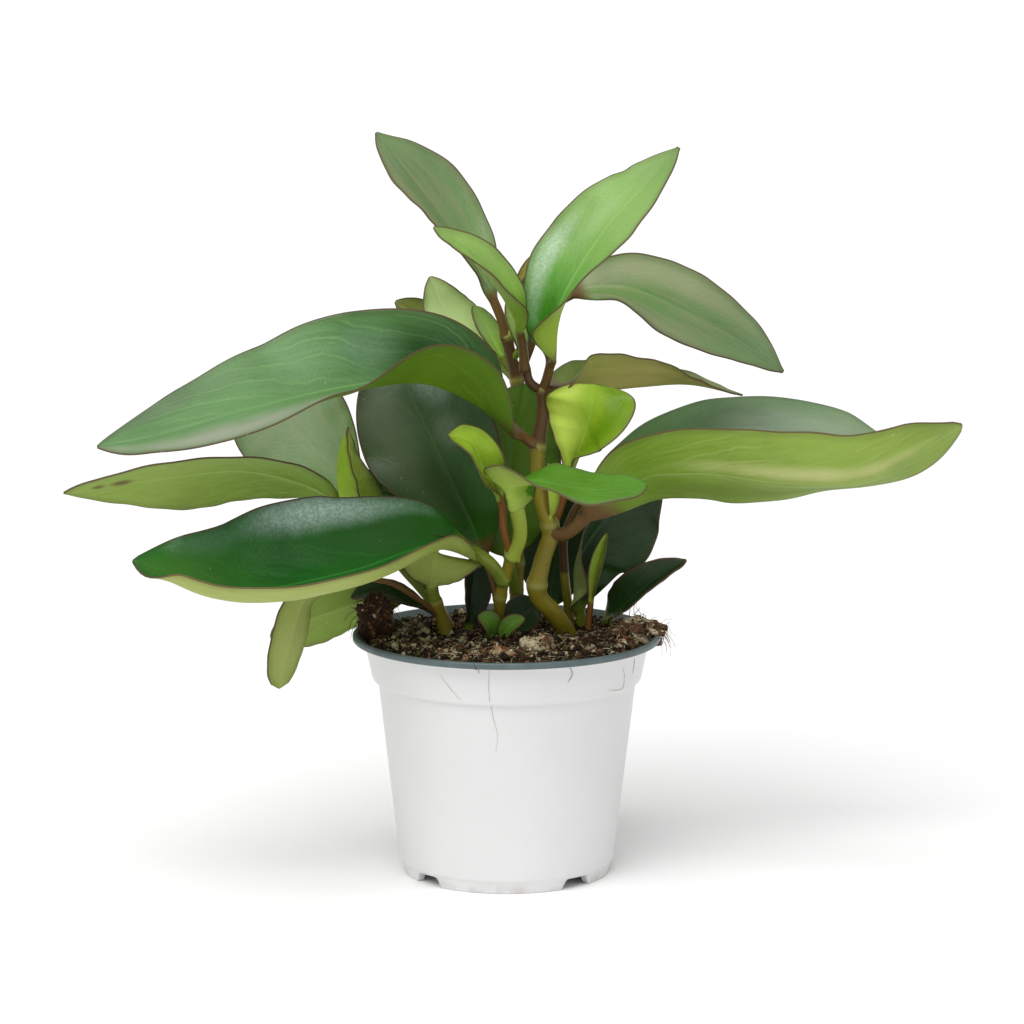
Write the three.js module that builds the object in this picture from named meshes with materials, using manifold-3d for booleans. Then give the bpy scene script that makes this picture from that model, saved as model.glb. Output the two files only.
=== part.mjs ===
import * as THREE from 'three';
import Module from 'manifold-3d';

// A bushy peperomia in a white nursery pot, in millimetres.
// +X is right, -Y is the front and +Z is up.
// The origin is on the floor, in the middle of the pot's foot ring.

const wasm = await Module();
wasm.setup();

// Pot: a thin white cup with a collar under its grey lip and a notched foot ring.
const POT_HEIGHT = 94.5;
const LIP_RADIUS = 60;
const LIP_HEIGHT = 2.7;
const COLLAR_TOP_RADIUS = 55.5;
const COLLAR_FOOT_RADIUS = 52.6;
const COLLAR_DEPTH = 17.5;
const WALL_TOP_RADIUS = 50.4;
const WALL_FOOT_RADIUS = 42;
const FOOT_RADIUS = 40.2;
const FOOT_HEIGHT = 4.4;
const WALL_THICKNESS = 1.1;
const POT_SEGMENTS = 40;
const NOTCH_ANGLES = [-49, 42, 132, 225];
const NOTCH_WIDTH = 12;

// Soil: a filling of peat, a little domed, that rises again towards the wall. It has a hole
// for each stem that stands in it.
const SOIL_LEVEL = 90;
const SOIL_SEGMENTS = 26;
const SOIL_DOME = 1.5;
const SOIL_RISE = 2.5;
const RISE_START = 25;
const SEAT_GAP = 0.3;

// Leaves: a fleshy blade that thins from the midrib to its margin, on a round stalk.
const BLADE_HALF_THICKNESS = 0.5;
const MARGIN_THINNING = 0.15;
const KEEL_DEPTH = 0.8;
const HINGE_WIDTH = 0.15;
const BLADE_START = 0.18;
const TIP_EASE = 0.12;
const ACROSS_LARGE = [1, 0.6, 0.2, 0];
const ACROSS_SMALL = [1, 0.4, 0];

// Outlines: the powers of the distance from the base and of the distance from the tip.
const OVAL = [0.85, 0.72];
const TAPERED = [0.85, 0.95];
const WIDE_BASE = [0.65, 0.78];
const LANCE = [1, 0.8];

// Stems: a route through the nodes, the radius, and where along it the swollen nodes are.
const STEMS = {
  stem_front: {
    path: [[27, 14, 82], [24, 12, 91], [19, 6, 100], [12, 1, 110], [14, 0, 123], [17, 0, 134],
      [14, -1, 145], [12, -2, 159], [12, -2, 168], [14, -1, 180], [14, 0, 190]],
    radius: [3.6, 3.6, 3.3, 2.8, 2.4], nodes: [0.33, 0.54, 0.81, 1],
  },
  stem_front_fork: {
    on: 'stem_front',
    path: [[14, 0, 189], [9, -2, 193], [7, -3, 199]],
    radius: [1.8, 1.8], nodes: [1],
  },
  stem_rear: {
    path: [[5, 31, 82], [4, 29, 100], [4, 27, 118], [4, 25, 142], [4, 23, 167], [4, 22, 190],
      [2, 21, 199], [0, 20, 208]],
    radius: [2.9, 2.8, 2.7, 2.6, 2.1], nodes: [0.28, 0.54, 0.86, 1],
  },
  stem_short: {
    path: [[-5, 14, 82], [-4, 11, 92], [-3, 4, 102], [-2, -1, 111], [2, -5, 126]],
    radius: [2.4, 2.2, 2.2], nodes: [0.63, 1],
  },
  stem_left: {
    path: [[-22, 6, 82], [-23, 6, 90], [-25, 6, 98], [-28, 4, 106]],
    radius: [2.7, 2.5], nodes: [1],
  },
  stem_left_rear: {
    path: [[-21, 22, 82], [-23, 22, 92], [-28, 22, 102], [-32, 22, 110]],
    radius: [2.5, 2.3], nodes: [1],
  },
  stem_right: {
    path: [[25, 24, 82], [25, 23, 93], [23, 21, 112], [22, 19, 129]],
    radius: [1.9, 1.7], nodes: [1],
  },
};

// Leaves: each goes from its root along its midrib to its tip. "face" is the way that the
// upper side looks at the base, the middle and the tip. Folds and curls are degrees.
const LEAVES = {
  leaf_top_left: {
    on: 'stem_rear', half: 17.5, outline: [1.15, 0.9], stalk: 0.14,
    path: [[0, 20, 207], [-2.5, 20, 216], [-12, 24, 235], [-29.5, 32, 259], [-51, 38, 286]],
    face: [[0.6, -0.75, 0.3], [0.75, -0.6, 0.3], [0.6, -0.7, 0.4]],
    left: [30, 15, 5], right: [30, 20, 5], curl: [20, 20],
  },
  leaf_top_front: {
    on: 'stem_front_fork', half: 9, outline: [0.85, 0.85], stalk: 0.2,
    path: [[7, -3, 198], [5.8, -9, 210], [1.7, -20.5, 224.2], [-10.8, -34, 242.8], [-27, -44, 257]],
    face: [[0.7, -0.5, 0.5], [0.5, -0.75, 0.5], [0.3, -0.8, 0.5]],
    left: [110, 55, 30], right: [45, 30, 10], curl: [10, 15],
  },
  leaf_top_right: {
    on: 'stem_front', beside: ['stem_front_fork'], half: 19, outline: TAPERED, stalk: 0.1,
    path: [[14, 0, 189], [17, -5, 201], [20.5, -12, 224], [37, -14, 252.5], [53, -13, 270.5],
      [65.5, -10, 284]],
    face: [[-0.7, -0.5, 0.4], [-0.5, -0.8, 0.4], [-0.5, -0.8, 0.4]],
    left: [100, 50, 8, -5, 0], right: [125, 45, 20, 8], curl: [15, 12],
  },
  leaf_top_bud: {
    on: 'stem_front_fork', beside: ['leaf_top_front'], half: 5, outline: LANCE, stalk: 0.2, radius: 1.1,
    path: [[7, -3, 198], [6, 2, 203], [5, 4, 211], [3, 5, 219], [1, 4, 226]],
    face: [[0.2, -1, 0.1], [0.2, -1, 0.1], [0.2, -1, 0.1]],
    left: [40, 30, 10], right: [40, 30, 10], curl: [10, 10],
  },
  leaf_top_yellow: {
    on: 'stem_rear', beside: ['leaf_top_left'], half: 6, outline: LANCE, stalk: 0.2, radius: 1.2,
    path: [[0, 20, 207], [4, 18, 213], [8, 17, 222], [9.5, 17, 232], [10, 16, 240]],
    face: [[-0.3, -0.9, 0.2], [-0.2, -1, 0.2], [0, -1, 0.2]],
    left: [40, 20, 5], right: [40, 20, 5], curl: [15, 15],
  },
  leaf_top_inner: {
    on: 'stem_rear', half: 6, outline: LANCE, stalk: 0.2, radius: 1.2,
    path: [[2, 21, 199], [7, 16, 206], [9, 11, 217], [8, 10, 233]],
    face: [[-0.3, -0.9, 0.2], [-0.2, -1, 0.2], [0, -1, 0.2]],
    left: [40, 20, 5], right: [40, 20, 5], curl: [15, 15],
  },
  leaf_right_upper: {
    on: 'stem_rear', half: 16.5, outline: [0.8, 0.9], stalk: 0.3,
    path: [[4, 22, 190], [8, 23, 201], [14, 26, 215], [27, 31, 224], [45, 38, 225.5],
      [66, 44, 217], [90, 46, 204], [109.5, 42, 191]],
    face: [[-0.3, -0.7, 0.65], [0.1, -0.8, 0.55], [0.4, -0.8, 0.45]],
    left: [30, 10, 5], right: [30, 10, 5], curl: [10, 10],
  },
  leaf_right_middle: {
    on: 'stem_front', beside: ['stem_front_fork', 'leaf_top_right'], half: 15,
    outline: [0.3, 0.8], stalk: 0.04,
    path: [[14, 0, 189], [20, 3, 190], [36, 12, 188.5], [52, 22, 188.5], [72, 31, 188], [93, 34, 183]],
    face: [[-0.1, 0, 1], [0, 0, 1], [0.1, 0, 1]],
    left: [55, 45, 35, 25, 10], right: [80, 75, 60, 15, 0], curl: [2, 5],
  },
  leaf_rear_pale: {
    on: 'stem_rear', half: 11.5, outline: [0.85, 0.8], stalk: 0.2, radius: 1.5,
    path: [[4, 22, 190], [-4, 28, 197], [-16, 32, 207], [-25, 34, 217], [-30, 32, 230]],
    face: [[0.6, -0.6, 0.5], [0.5, -0.7, 0.5], [0.3, -0.9, 0.3]],
    left: [20, 10, 5], right: [20, 10, 5], curl: [15, 15],
  },
  leaf_rear_yellow: {
    on: 'stem_rear', half: 8, outline: OVAL, stalk: 0.3, radius: 1.4,
    path: [[4, 23, 176], [-5, 33, 190], [-23, 42, 204], [-34, 44, 213], [-44, 42, 219]],
    face: [[0.3, -0.8, 0.5], [0.3, -0.8, 0.5], [0.2, -0.9, 0.4]],
    left: [20, 10, 5], right: [20, 10, 5], curl: [15, 15],
  },
  leaf_rear_grey: {
    on: 'stem_rear', half: 5.5, outline: OVAL, stalk: 0.2, radius: 1.2,
    path: [[3, 22, 194], [-3, 24, 201], [-8, 27, 210], [-13, 29, 219]],
    face: [[0.6, -0.7, 0.4], [0.6, -0.7, 0.4], [0.5, -0.7, 0.4]],
    left: [20, 10, 5], right: [20, 10, 5], curl: [15, 15],
  },
  leaf_left_large: {
    on: 'stem_front', half: 29, outline: WIDE_BASE, stalk: 0.05, radius: 2,
    path: [[12, -2, 168], [3, -8, 175], [-11, -16, 187], [-31, -26, 197], [-54, -36, 197],
      [-99, -52, 189], [-128, -58, 181], [-152, -62, 177]],
    face: [[0.5, -0.25, 0.75], [0.2, -0.42, 0.9], [-0.2, -0.55, 0.8]],
    left: [62, 62, 27, 5, 5], right: [65, 68, 38, 10, 6, 0], curl: [20, 10],
  },
  leaf_left_middle: {
    on: 'stem_left_rear', half: 20, outline: [0.8, 0.9], stalk: 0.34,
    path: [[-29, 22, 103], [-38, 18, 113], [-52, 14, 131], [-68, 9, 147], [-99, -4, 159],
      [-133, -16, 158], [-169, -24, 153.5]],
    face: [[0.3, 0.5, 0.9], [0, 0.65, 0.8], [-0.1, 0.7, 0.8]],
    left: [0, -5, 0], right: [0, -10, 0], curl: [-20, -10],
  },
  leaf_left_low: {
    on: 'stem_short', half: 34, outline: OVAL, stalk: 0.1, radius: 2.5,
    path: [[-1, -2, 115], [-7, -9, 124], [-14, -13, 129], [-27, -22, 133], [-60, -42, 126],
      [-104, -56, 121.5], [-139.5, -62, 134]],
    face: [[0.1, -0.4, 0.95], [0, -0.5, 0.87], [-0.1, -0.4, 0.95]],
    left: [15, 5, 5], right: [20, 12, 12], curl: [68, 40],
  },
  leaf_left_grey: {
    on: 'stem_left_rear', half: 23, outline: [0.9, 0.65], stalk: 0.42,
    path: [[-31, 22, 107], [-40, 29, 119], [-56, 33, 141], [-79, 36, 165], [-103, 36, 193]],
    face: [[-0.2, -0.95, 0.2], [-0.2, -0.95, 0.2], [-0.2, -0.95, 0.3]],
    left: [8, 5, 5], right: [8, 5, 5], curl: [8, 8],
  },
  leaf_left_dark: {
    on: 'stem_short', half: 27, outline: [0.85, 0.72], stalk: 0.17, radius: 1.4,
    path: [[-3, 2, 106], [-6, 4, 116], [-12, 7, 133], [-25, 9, 161], [-36, 10, 184], [-45, 8, 208]],
    face: [[-0.4, -0.9, 0.2], [-0.3, -0.95, 0.2], [-0.2, -0.95, 0.2]],
    left: [75, 45, 5, 5], right: [15, 5, 5], curl: [10, 10],
  },
  leaf_left_folded: {
    on: 'stem_left', beside: ['leaf_stem_left'], half: 16, outline: [0.5, 1.05], stalk: 0.45, radius: 1.3,
    path: [[-27, 5, 102], [-37, 10, 113], [-50, 8, 128], [-62, 4, 142], [-65, 3, 156],
      [-64, 2, 166], [-61, 2, 175]],
    face: [[0.9, -0.35, 0.1], [0.9, -0.35, 0.1], [0.9, -0.35, 0.1]],
    left: [50, 55, 55], right: [60, 60, 50], curl: [5, 5],
  },
  leaf_left_small: {
    on: 'stem_left_rear', beside: ['leaf_left_grey'], half: 5.5, outline: OVAL, stalk: 0.4, radius: 1.3,
    path: [[-31, 22, 109], [-30, 20, 126], [-34, 17, 138], [-41, 15, 144], [-49, 14, 148],
      [-52, 13, 157]],
    face: [[0.1, -0.8, 0.6], [0.1, -0.8, 0.6], [0.1, -0.8, 0.6]],
    left: [50, 40, 20], right: [40, 40, 20], curl: [10, 10],
  },
  leaf_centre_dark: {
    on: 'stem_rear', half: 20, outline: [0.6, 0.65], stalk: 0.2,
    path: [[4, 28, 105], [2, 23, 114], [0, 19, 135], [2, 18, 160], [7, 16, 190]],
    face: [[0, -1, 0.2], [0, -1, 0.2], [0, -1, 0.2]],
    left: [15, 5, 5], right: [15, 5, 5], curl: [10, 10],
  },
  leaf_wavy: {
    on: 'stem_short', half: 8.5, outline: OVAL, stalk: 0.38, radius: 1.3, ripple: 1.5,
    path: [[2, -5, 125], [-1, -10, 137], [-2, -14, 148], [-8, -22, 160], [-13, -28, 173],
      [-22, -32, 177]],
    face: [[0.5, -0.8, 0.3], [0.4, -0.9, 0.3], [0, -0.7, 0.7]],
    left: [75, 45, 5], right: [30, 15, 5], curl: [15, 15],
  },
  leaf_oval_front: {
    on: 'stem_short', beside: ['leaf_wavy'], half: 17, outline: [0.6, 0.6], stalk: 0.3, radius: 2.3,
    path: [[2, -5, 125], [5, -11, 134], [4, -20, 146], [1, -29, 156], [10, -38, 160],
      [33, -47, 158], [53, -46, 160]],
    face: [[-0.2, -0.9, 0.3], [0, -0.5, 0.85], [0.1, -0.35, 0.95]],
    left: [10, -20, -20, -15, 0], right: [90, 60, 25, 5, -5], curl: [15, 15],
  },
  leaf_young_folded: {
    on: 'stem_front', half: 18, outline: [1.8, 0.45], stalk: 0.22, radius: 1.4,
    path: [[17, 0, 134], [20, 3, 141], [26, 2, 160], [30.5, -3, 174], [33, -8, 185], [34, -7, 193]],
    face: [[-0.3, -0.9, 0.2], [-0.2, -0.8, 0.5], [-0.1, -0.7, 0.6]],
    left: [60, 45, 25, 0], right: [85, 75, 30, -10], curl: [10, 10],
  },
  leaf_right_front: {
    on: 'stem_front', half: 22, outline: [0.45, 0.5], stalk: 0.1, radius: 2.4,
    path: [[17, 0, 134], [23, -3, 134], [33, -6, 143], [51, -10, 157], [74, -20, 161],
      [108, -32, 159], [137, -40, 162], [171, -44, 183]],
    face: [[-0.2, 0.6, 0.8], [0, 0.7, 0.8], [-0.3, 0.6, 0.8]],
    left: [-10, -5, 22, -15], right: [12, 15, 30, 30], curl: [5, 15],
  },
  leaf_right_rear: {
    on: 'stem_right', half: 25, outline: OVAL, stalk: 0.12,
    path: [[22, 19, 128], [29, 25, 141], [53, 38, 154.5], [85, 51, 166], [117, 60, 166.5],
      [151, 58, 162]],
    face: [[-0.3, -0.1, 0.95], [0, -0.12, 1], [0.2, -0.3, 0.9]],
    left: [25, 10, 5], right: [20, 5, 0], curl: [5, 5],
  },
  leaf_right_folded: {
    on: 'soil', half: 22, outline: OVAL, stalk: 0.2, radius: 2,
    path: [[31, 19, 82], [30, 19, 93], [28, 17, 104], [29, 17, 120], [38, 19, 134],
      [48.5, 20, 145], [60, 18, 153]],
    face: [[0.6, -0.8, 0.2], [0.5, -0.8, 0.3], [0.5, -0.8, 0.3]],
    left: [85, 55, 15], right: [20, 10, 5], curl: [10, 10],
  },
  leaf_right_low: {
    on: 'soil', half: 9.5, outline: [0.5, 0.8], stalk: 0.25, radius: 1.5,
    path: [[38, 25, 82], [38, 24, 90], [40, 20, 96], [48, 13, 104], [58, 8, 114], [70, 5, 122]],
    face: [[-0.2, -0.7, 0.7], [-0.2, -0.7, 0.7], [-0.2, -0.7, 0.7]],
    left: [30, 35, 30], right: [30, 30, 20], curl: [10, 20],
  },
  leaf_pot_left: {
    on: 'soil', half: 5.5, outline: OVAL, stalk: 0.35, radius: 1.2,
    path: [[-5, 4, 84], [-6, 2, 91], [-7, -3, 98], [-11, -6, 102]],
    face: [[0.3, -0.8, 0.5], [0.3, -0.8, 0.5], [0.2, -0.7, 0.7]],
    left: [25, 15, 10], right: [25, 15, 10], curl: [15, 15],
  },
  leaf_pot_right: {
    on: 'soil', half: 4, outline: OVAL, stalk: 0.35, radius: 1.1,
    path: [[-1, 2, 84], [-2, 0, 91], [1, -3, 97], [7, -5, 101]],
    face: [[-0.2, -0.8, 0.5], [-0.2, -0.8, 0.5], [-0.2, -0.7, 0.7]],
    left: [25, 15, 10], right: [25, 15, 10], curl: [15, 15],
  },
  leaf_stem_left: {
    on: 'stem_left', half: 20, outline: [1.3, 0.4], stalk: 0.25, radius: 1.9,
    path: [[-28, 4, 105], [-29, 0, 113], [-28, -3, 121], [-27, -2, 127], [-26, 3, 130]],
    face: [[0, 0.9, 0.4], [0, 0.9, 0.4], [0, 0.3, 0.95]],
    left: [-25, -25], right: [-30, -30], curl: [-10, -10],
  },
  leaf_hanging: {
    on: 'stem_left', beside: ['leaf_stem_left', 'leaf_left_folded'], half: 10, outline: [0.7, 0.45],
    stalk: 0.45, radius: 1,
    path: [[-26, 5, 100], [-37, -3, 110], [-46, -9, 116], [-64, -16, 118], [-77, -21, 113],
      [-83.5, -26, 95], [-87.5, -25, 77.5]],
    face: [[-0.3, 0.6, 0.7], [-0.6, 0.6, 0.5], [-0.7, 0.6, 0]],
    left: [10, 10], right: [10, 10], curl: [-10, -10],
  },
  leaf_hanging_rear: {
    on: 'stem_left_rear', half: 16, outline: OVAL, stalk: 0.25, radius: 1.4,
    path: [[-24, 22, 94], [-34, 26, 101], [-52, 30, 102], [-73, 24, 97], [-93, 14, 90]],
    face: [[-0.1, 0.8, 0.6], [-0.2, 0.8, 0.6], [-0.3, 0.8, 0.5]],
    left: [5, 5], right: [5, 5], curl: [-10, -10],
  },
  leaf_low_dark: {
    on: 'stem_left_rear', half: 6, outline: OVAL, stalk: 0.2, radius: 1.4,
    path: [[-25, 22, 96], [-34, 18, 102], [-43, 15, 106], [-52, 13, 108], [-61, 11, 106]],
    face: [[0, -0.6, 0.8], [0, -0.6, 0.8], [0, -0.6, 0.8]],
    left: [15, 15], right: [15, 15], curl: [10, 10],
  },
  leaf_low_rear: {
    on: 'soil', half: 8, outline: OVAL, stalk: 0.3, radius: 1.4,
    path: [[2, 14, 82], [3, 16, 92], [7, 18, 98], [13, 20, 102]],
    face: [[0, -0.8, 0.6], [0, -0.8, 0.6], [0, -0.8, 0.6]],
    left: [15, 15], right: [15, 15], curl: [10, 10],
  },
  leaf_rear_dark: {
    on: 'soil', half: 17, outline: OVAL, stalk: 0.25, radius: 1.6,
    path: [[16, 34, 82], [17, 35, 100], [20, 38, 120], [24, 40, 142]],
    face: [[0, -1, 0.2], [0, -1, 0.2], [0, -1, 0.2]],
    left: [15, 15], right: [15, 15], curl: [10, 10],
  },
  leaf_soil_folded: {
    on: 'soil', half: 8, outline: OVAL, stalk: 0.25, radius: 1.6,
    path: [[-15, 16, 82], [-15, 16, 92], [-14, 18, 106], [-12, 20, 124]],
    face: [[0.6, -0.7, 0.2], [0.6, -0.7, 0.2], [0.6, -0.7, 0.2]],
    left: [40, 20], right: [40, 20], curl: [10, 10],
  },
  leaf_young_narrow: {
    on: 'stem_front', half: 2.8, outline: LANCE, stalk: 0.1, radius: 1,
    path: [[15.5, -1, 137], [18, -5, 143], [18.5, -6.5, 151], [16, -6, 162]],
    face: [[-0.3, -0.9, 0.2], [-0.3, -0.9, 0.2], [-0.3, -0.9, 0.2]],
    left: [30, 20], right: [30, 20], curl: [10, 10],
  },
  leaf_right_young: {
    on: 'soil', half: 3.2, outline: LANCE, stalk: 0.4, radius: 1,
    path: [[32, 14, 82], [32, 13, 92], [33, 12, 104], [35, 11, 117], [39, 10, 132]],
    face: [[-0.3, -0.9, 0.2], [-0.3, -0.9, 0.2], [-0.3, -0.9, 0.2]],
    left: [40, 30], right: [40, 30], curl: [10, 10],
  },
};
const LARGE_LEAF = 15;

// Peat clumps and chunks: centre, half sizes, and a number that varies the lumps.
const CLUMPS = {
  clump_left: { at: [-51, 0, 100], size: [7, 6, 9], vary: 1, detail: 2 },
  clump_right: { at: [52, 2, 94.5], size: [10, 12, 5], vary: 2, detail: 2 },
  chunk_front: { at: [12, -22, 92], size: [7, 6, 5.5], vary: 3, detail: 1 },
  chunk_reddish: { at: [-3, -32, 90.5], size: [7, 5, 4], vary: 4, detail: 1 },
  chunk_left: { at: [-22, -28, 90], size: [6, 5, 3.5], vary: 5, detail: 1 },
  chunk_right: { at: [31, -12, 91.5], size: [6, 5, 3.5], vary: 6, detail: 1 },
};

const COLOURS = {
  pot: 0xe6e7e6,
  soil: 0x3b2a20,
  clump: 0x4a3324,
  stem: 0x7d8338,
  leaf: 0x4f8a45,
};

// Small helpers for curves, smooth steps and values that change along a leaf.

function toVector(p) {
  return new THREE.Vector3(p[0], p[1], p[2]);
}

function curveThrough(points) {
  return new THREE.CatmullRomCurve3(points.map(toVector), false, 'centripetal');
}

function smooth(x) {
  const t = Math.min(Math.max(x, 0), 1);
  return t * t * (3 - 2 * t);
}

// The value at a fraction of the way through evenly spaced values.
function along(values, fraction) {
  const place = Math.min(Math.max(fraction, 0), 1) * (values.length - 1);
  const index = Math.min(Math.floor(place), values.length - 2);
  const share = smooth(place - index);
  return values[index] * (1 - share) + values[index + 1] * share;
}

function directionAlong(vectors, fraction) {
  const parts = [0, 1, 2].map((k) => along(vectors.map((v) => v[k]), fraction));
  return toVector(parts).normalize();
}

// The point and the heading at a fraction of a curve's length.
function placeOn(curve, fraction) {
  const before = curve.getPointAt(Math.max(fraction - 0.01, 0));
  const after = curve.getPointAt(Math.min(fraction + 0.01, 1));
  return { point: curve.getPointAt(fraction), heading: after.sub(before).normalize() };
}

// An indexed geometry from rows of points: each row is one closed ring.
// "split" says which diagonal each side of the ring uses.
function loft(rings, split, capStart, capEnd) {
  const size = rings[0].length;
  const positions = rings.flat().flatMap((p) => [p.x, p.y, p.z]);
  const index = [];
  for (let i = 0; i + 1 < rings.length; i += 1) {
    for (let k = 0; k < size; k += 1) {
      const a = i * size + k;
      const b = i * size + ((k + 1) % size);
      const c = b + size;
      const d = a + size;
      if (split(k)) {
        index.push(a, b, d, b, c, d);
      } else {
        index.push(a, b, c, a, c, d);
      }
    }
  }
  const last = (rings.length - 1) * size;
  capStart.forEach(([a, b, c]) => index.push(a, c, b));
  capEnd.forEach(([a, b, c]) => index.push(last + a, last + b, last + c));
  const geometry = new THREE.BufferGeometry();
  geometry.setAttribute('position', new THREE.Float32BufferAttribute(positions, 3));
  geometry.setIndex(index);
  return geometry;
}

// Cuts and joins.

function toManifold(geometry) {
  const mesh = new wasm.Mesh({
    numProp: 3,
    vertProperties: new Float32Array(geometry.getAttribute('position').array),
    triVerts: new Uint32Array(geometry.getIndex().array),
  });
  return new wasm.Manifold(mesh);
}

function toGeometry(manifold) {
  const mesh = manifold.getMesh();
  const geometry = new THREE.BufferGeometry();
  const positions = [];
  for (let i = 0; i < mesh.vertProperties.length; i += mesh.numProp) {
    positions.push(mesh.vertProperties[i], mesh.vertProperties[i + 1], mesh.vertProperties[i + 2]);
  }
  geometry.setAttribute('position', new THREE.Float32BufferAttribute(positions, 3));
  geometry.setIndex(Array.from(mesh.triVerts));
  return geometry;
}

// Stems.

const STEM_SIDES = 8;

function fan(size) {
  const faces = [];
  for (let k = 1; k + 1 < size; k += 1) {
    faces.push([0, k, k + 1]);
  }
  return faces;
}

// Each node is a short swelling of the stem.
function stemRadius(stem, fraction, length) {
  const swelling = stem.nodes
    .map((node) => Math.exp(-(((fraction - node) * length / 3) ** 2)))
    .reduce((sum, bump) => sum + bump, 0);
  return along(stem.radius, fraction) * (1 + 0.22 * swelling);
}

function stemGeometry(stem, extra) {
  const curve = curveThrough(stem.path);
  const length = curve.getLength();
  const steps = Math.max(3, Math.round(length / 4));
  const rings = [];
  for (let i = 0; i <= steps; i += 1) {
    const { point, heading } = placeOn(curve, i / steps);
    const side = new THREE.Vector3(1, 0, 0).addScaledVector(heading, -heading.x).normalize();
    const back = heading.clone().cross(side);
    const radius = stemRadius(stem, i / steps, length) + extra;
    const ring = [];
    for (let k = 0; k < STEM_SIDES; k += 1) {
      const angle = (2 * Math.PI * k) / STEM_SIDES;
      ring.push(point.clone()
        .addScaledVector(side, radius * Math.cos(angle))
        .addScaledVector(back, radius * Math.sin(angle)));
    }
    rings.push(ring);
  }
  return loft(rings, () => true, fan(STEM_SIDES), fan(STEM_SIDES));
}

// Leaves.

// Half the width of the blade at a share of its length: a power of the distance from the
// base times a power of the distance from the tip, with the widest place scaled to one.
function outlineWidth([base, tip], share) {
  const widest = base / (base + tip);
  const scale = widest ** base * (1 - widest) ** tip;
  return (share ** base * (1 - share) ** tip) / scale;
}

// One half of a cross-section: the slope starts flat, turns by the fold over the hinge,
// then turns evenly by the curl. Returns points out to each distance in "across".
function halfSection(width, fold, curl, across) {
  const steps = 20;
  const rows = [{ lateral: 0, height: 0, slope: 0 }];
  let lateral = 0;
  let height = 0;
  for (let k = 0; k < steps; k += 1) {
    const middle = (k + 0.5) / steps;
    const slope = fold * smooth(middle / HINGE_WIDTH) + curl * middle;
    lateral += (width * Math.cos(slope)) / steps;
    height += (width * Math.sin(slope)) / steps;
    const end = (k + 1) / steps;
    rows.push({ lateral, height, slope: fold * smooth(end / HINGE_WIDTH) + curl * end });
  }
  return across.map((v) => rows[Math.round(v * steps)]);
}

function leafGeometry(leaf, across, stations, extra) {
  const curve = curveThrough(leaf.path);
  const stalkRadius = leaf.radius ?? 1.8;
  const rings = [];
  for (let i = 0; i <= stations; i += 1) {
    const fraction = i / stations;
    const { point, heading } = placeOn(curve, fraction);
    const face = directionAlong(leaf.face, fraction);
    face.addScaledVector(heading, -face.dot(heading)).normalize();
    const side = face.clone().cross(heading);
    const share = Math.max(0, (fraction - leaf.stalk) / (1 - leaf.stalk));
    const grown = smooth(share / BLADE_START);
    const open = grown * smooth((1 - share) / TIP_EASE);
    const radius = stalkRadius * (1 - 0.75 * share) + extra;
    const blade = leaf.half * outlineWidth(leaf.outline, share);
    const width = Math.cbrt(radius ** 3 + blade ** 3) + extra;
    const upper = [];
    const lower = [];
    for (const sign of [1, -1]) {
      const folds = sign > 0 ? leaf.left : leaf.right;
      const fold = THREE.MathUtils.degToRad(along(folds, share)) * open;
      const curl = THREE.MathUtils.degToRad(leaf.curl[sign > 0 ? 0 : 1]) * open;
      const order = sign > 0 ? across : [...across].reverse().slice(1);
      const section = halfSection(width, fold, curl, order);
      order.forEach((v, k) => {
        const { lateral, height, slope } = section[k];
        const phase = sign > 0 ? 0.8 : 2.4;
        const wave = (leaf.ripple ?? 0) * Math.sin(4 * Math.PI * share + phase) * v * v * open;
        const middle = point.clone()
          .addScaledVector(side, sign * lateral)
          .addScaledVector(face, height + wave);
        const normal = face.clone().multiplyScalar(Math.cos(slope))
          .addScaledVector(side, -sign * Math.sin(slope));
        const round = radius * Math.sqrt(1 - 0.91 * v * v);
        const flat = BLADE_HALF_THICKNESS - MARGIN_THINNING * v * v;
        const half = round + (flat + extra - round) * grown;
        const keel = KEEL_DEPTH * (1 - share) * grown * Math.max(0, 1 - v / 0.3) ** 2;
        upper.push(middle.clone().addScaledVector(normal, half));
        lower.push(middle.clone().addScaledVector(normal, -half - keel));
      });
    }
    rings.push([...upper, ...lower.reverse()]);
  }
  const count = across.length * 2 - 1;
  const cap = [];
  for (let k = 0; k + 1 < count; k += 1) {
    const under = 2 * count - 1 - k;
    cap.push([k, k + 1, under], [k + 1, under - 1, under]);
  }
  return loft(rings, (k) => k < count, cap, cap);
}

function leafShape(leaf, extra) {
  const large = leaf.half >= LARGE_LEAF;
  return leafGeometry(leaf, large ? ACROSS_LARGE : ACROSS_SMALL, large ? 12 : 9, extra);
}

// The space that a stem or a leaf takes up, with the seat's gap around it.
function roomFor(name) {
  const shape = STEMS[name]
    ? stemGeometry(STEMS[name], SEAT_GAP)
    : leafShape(LEAVES[name], SEAT_GAP);
  return toManifold(shape);
}

// A piece is cut where it meets its stem and its neighbours, so that it sits just off them.
function seated(geometry, piece) {
  const others = [piece.on, ...(piece.beside ?? [])].filter((name) => name && name !== 'soil');
  if (others.length === 0) {
    return geometry;
  }
  let solid = toManifold(geometry);
  for (const name of others) {
    solid = solid.subtract(roomFor(name));
  }
  return toGeometry(solid);
}

// Pot and soil.

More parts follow.
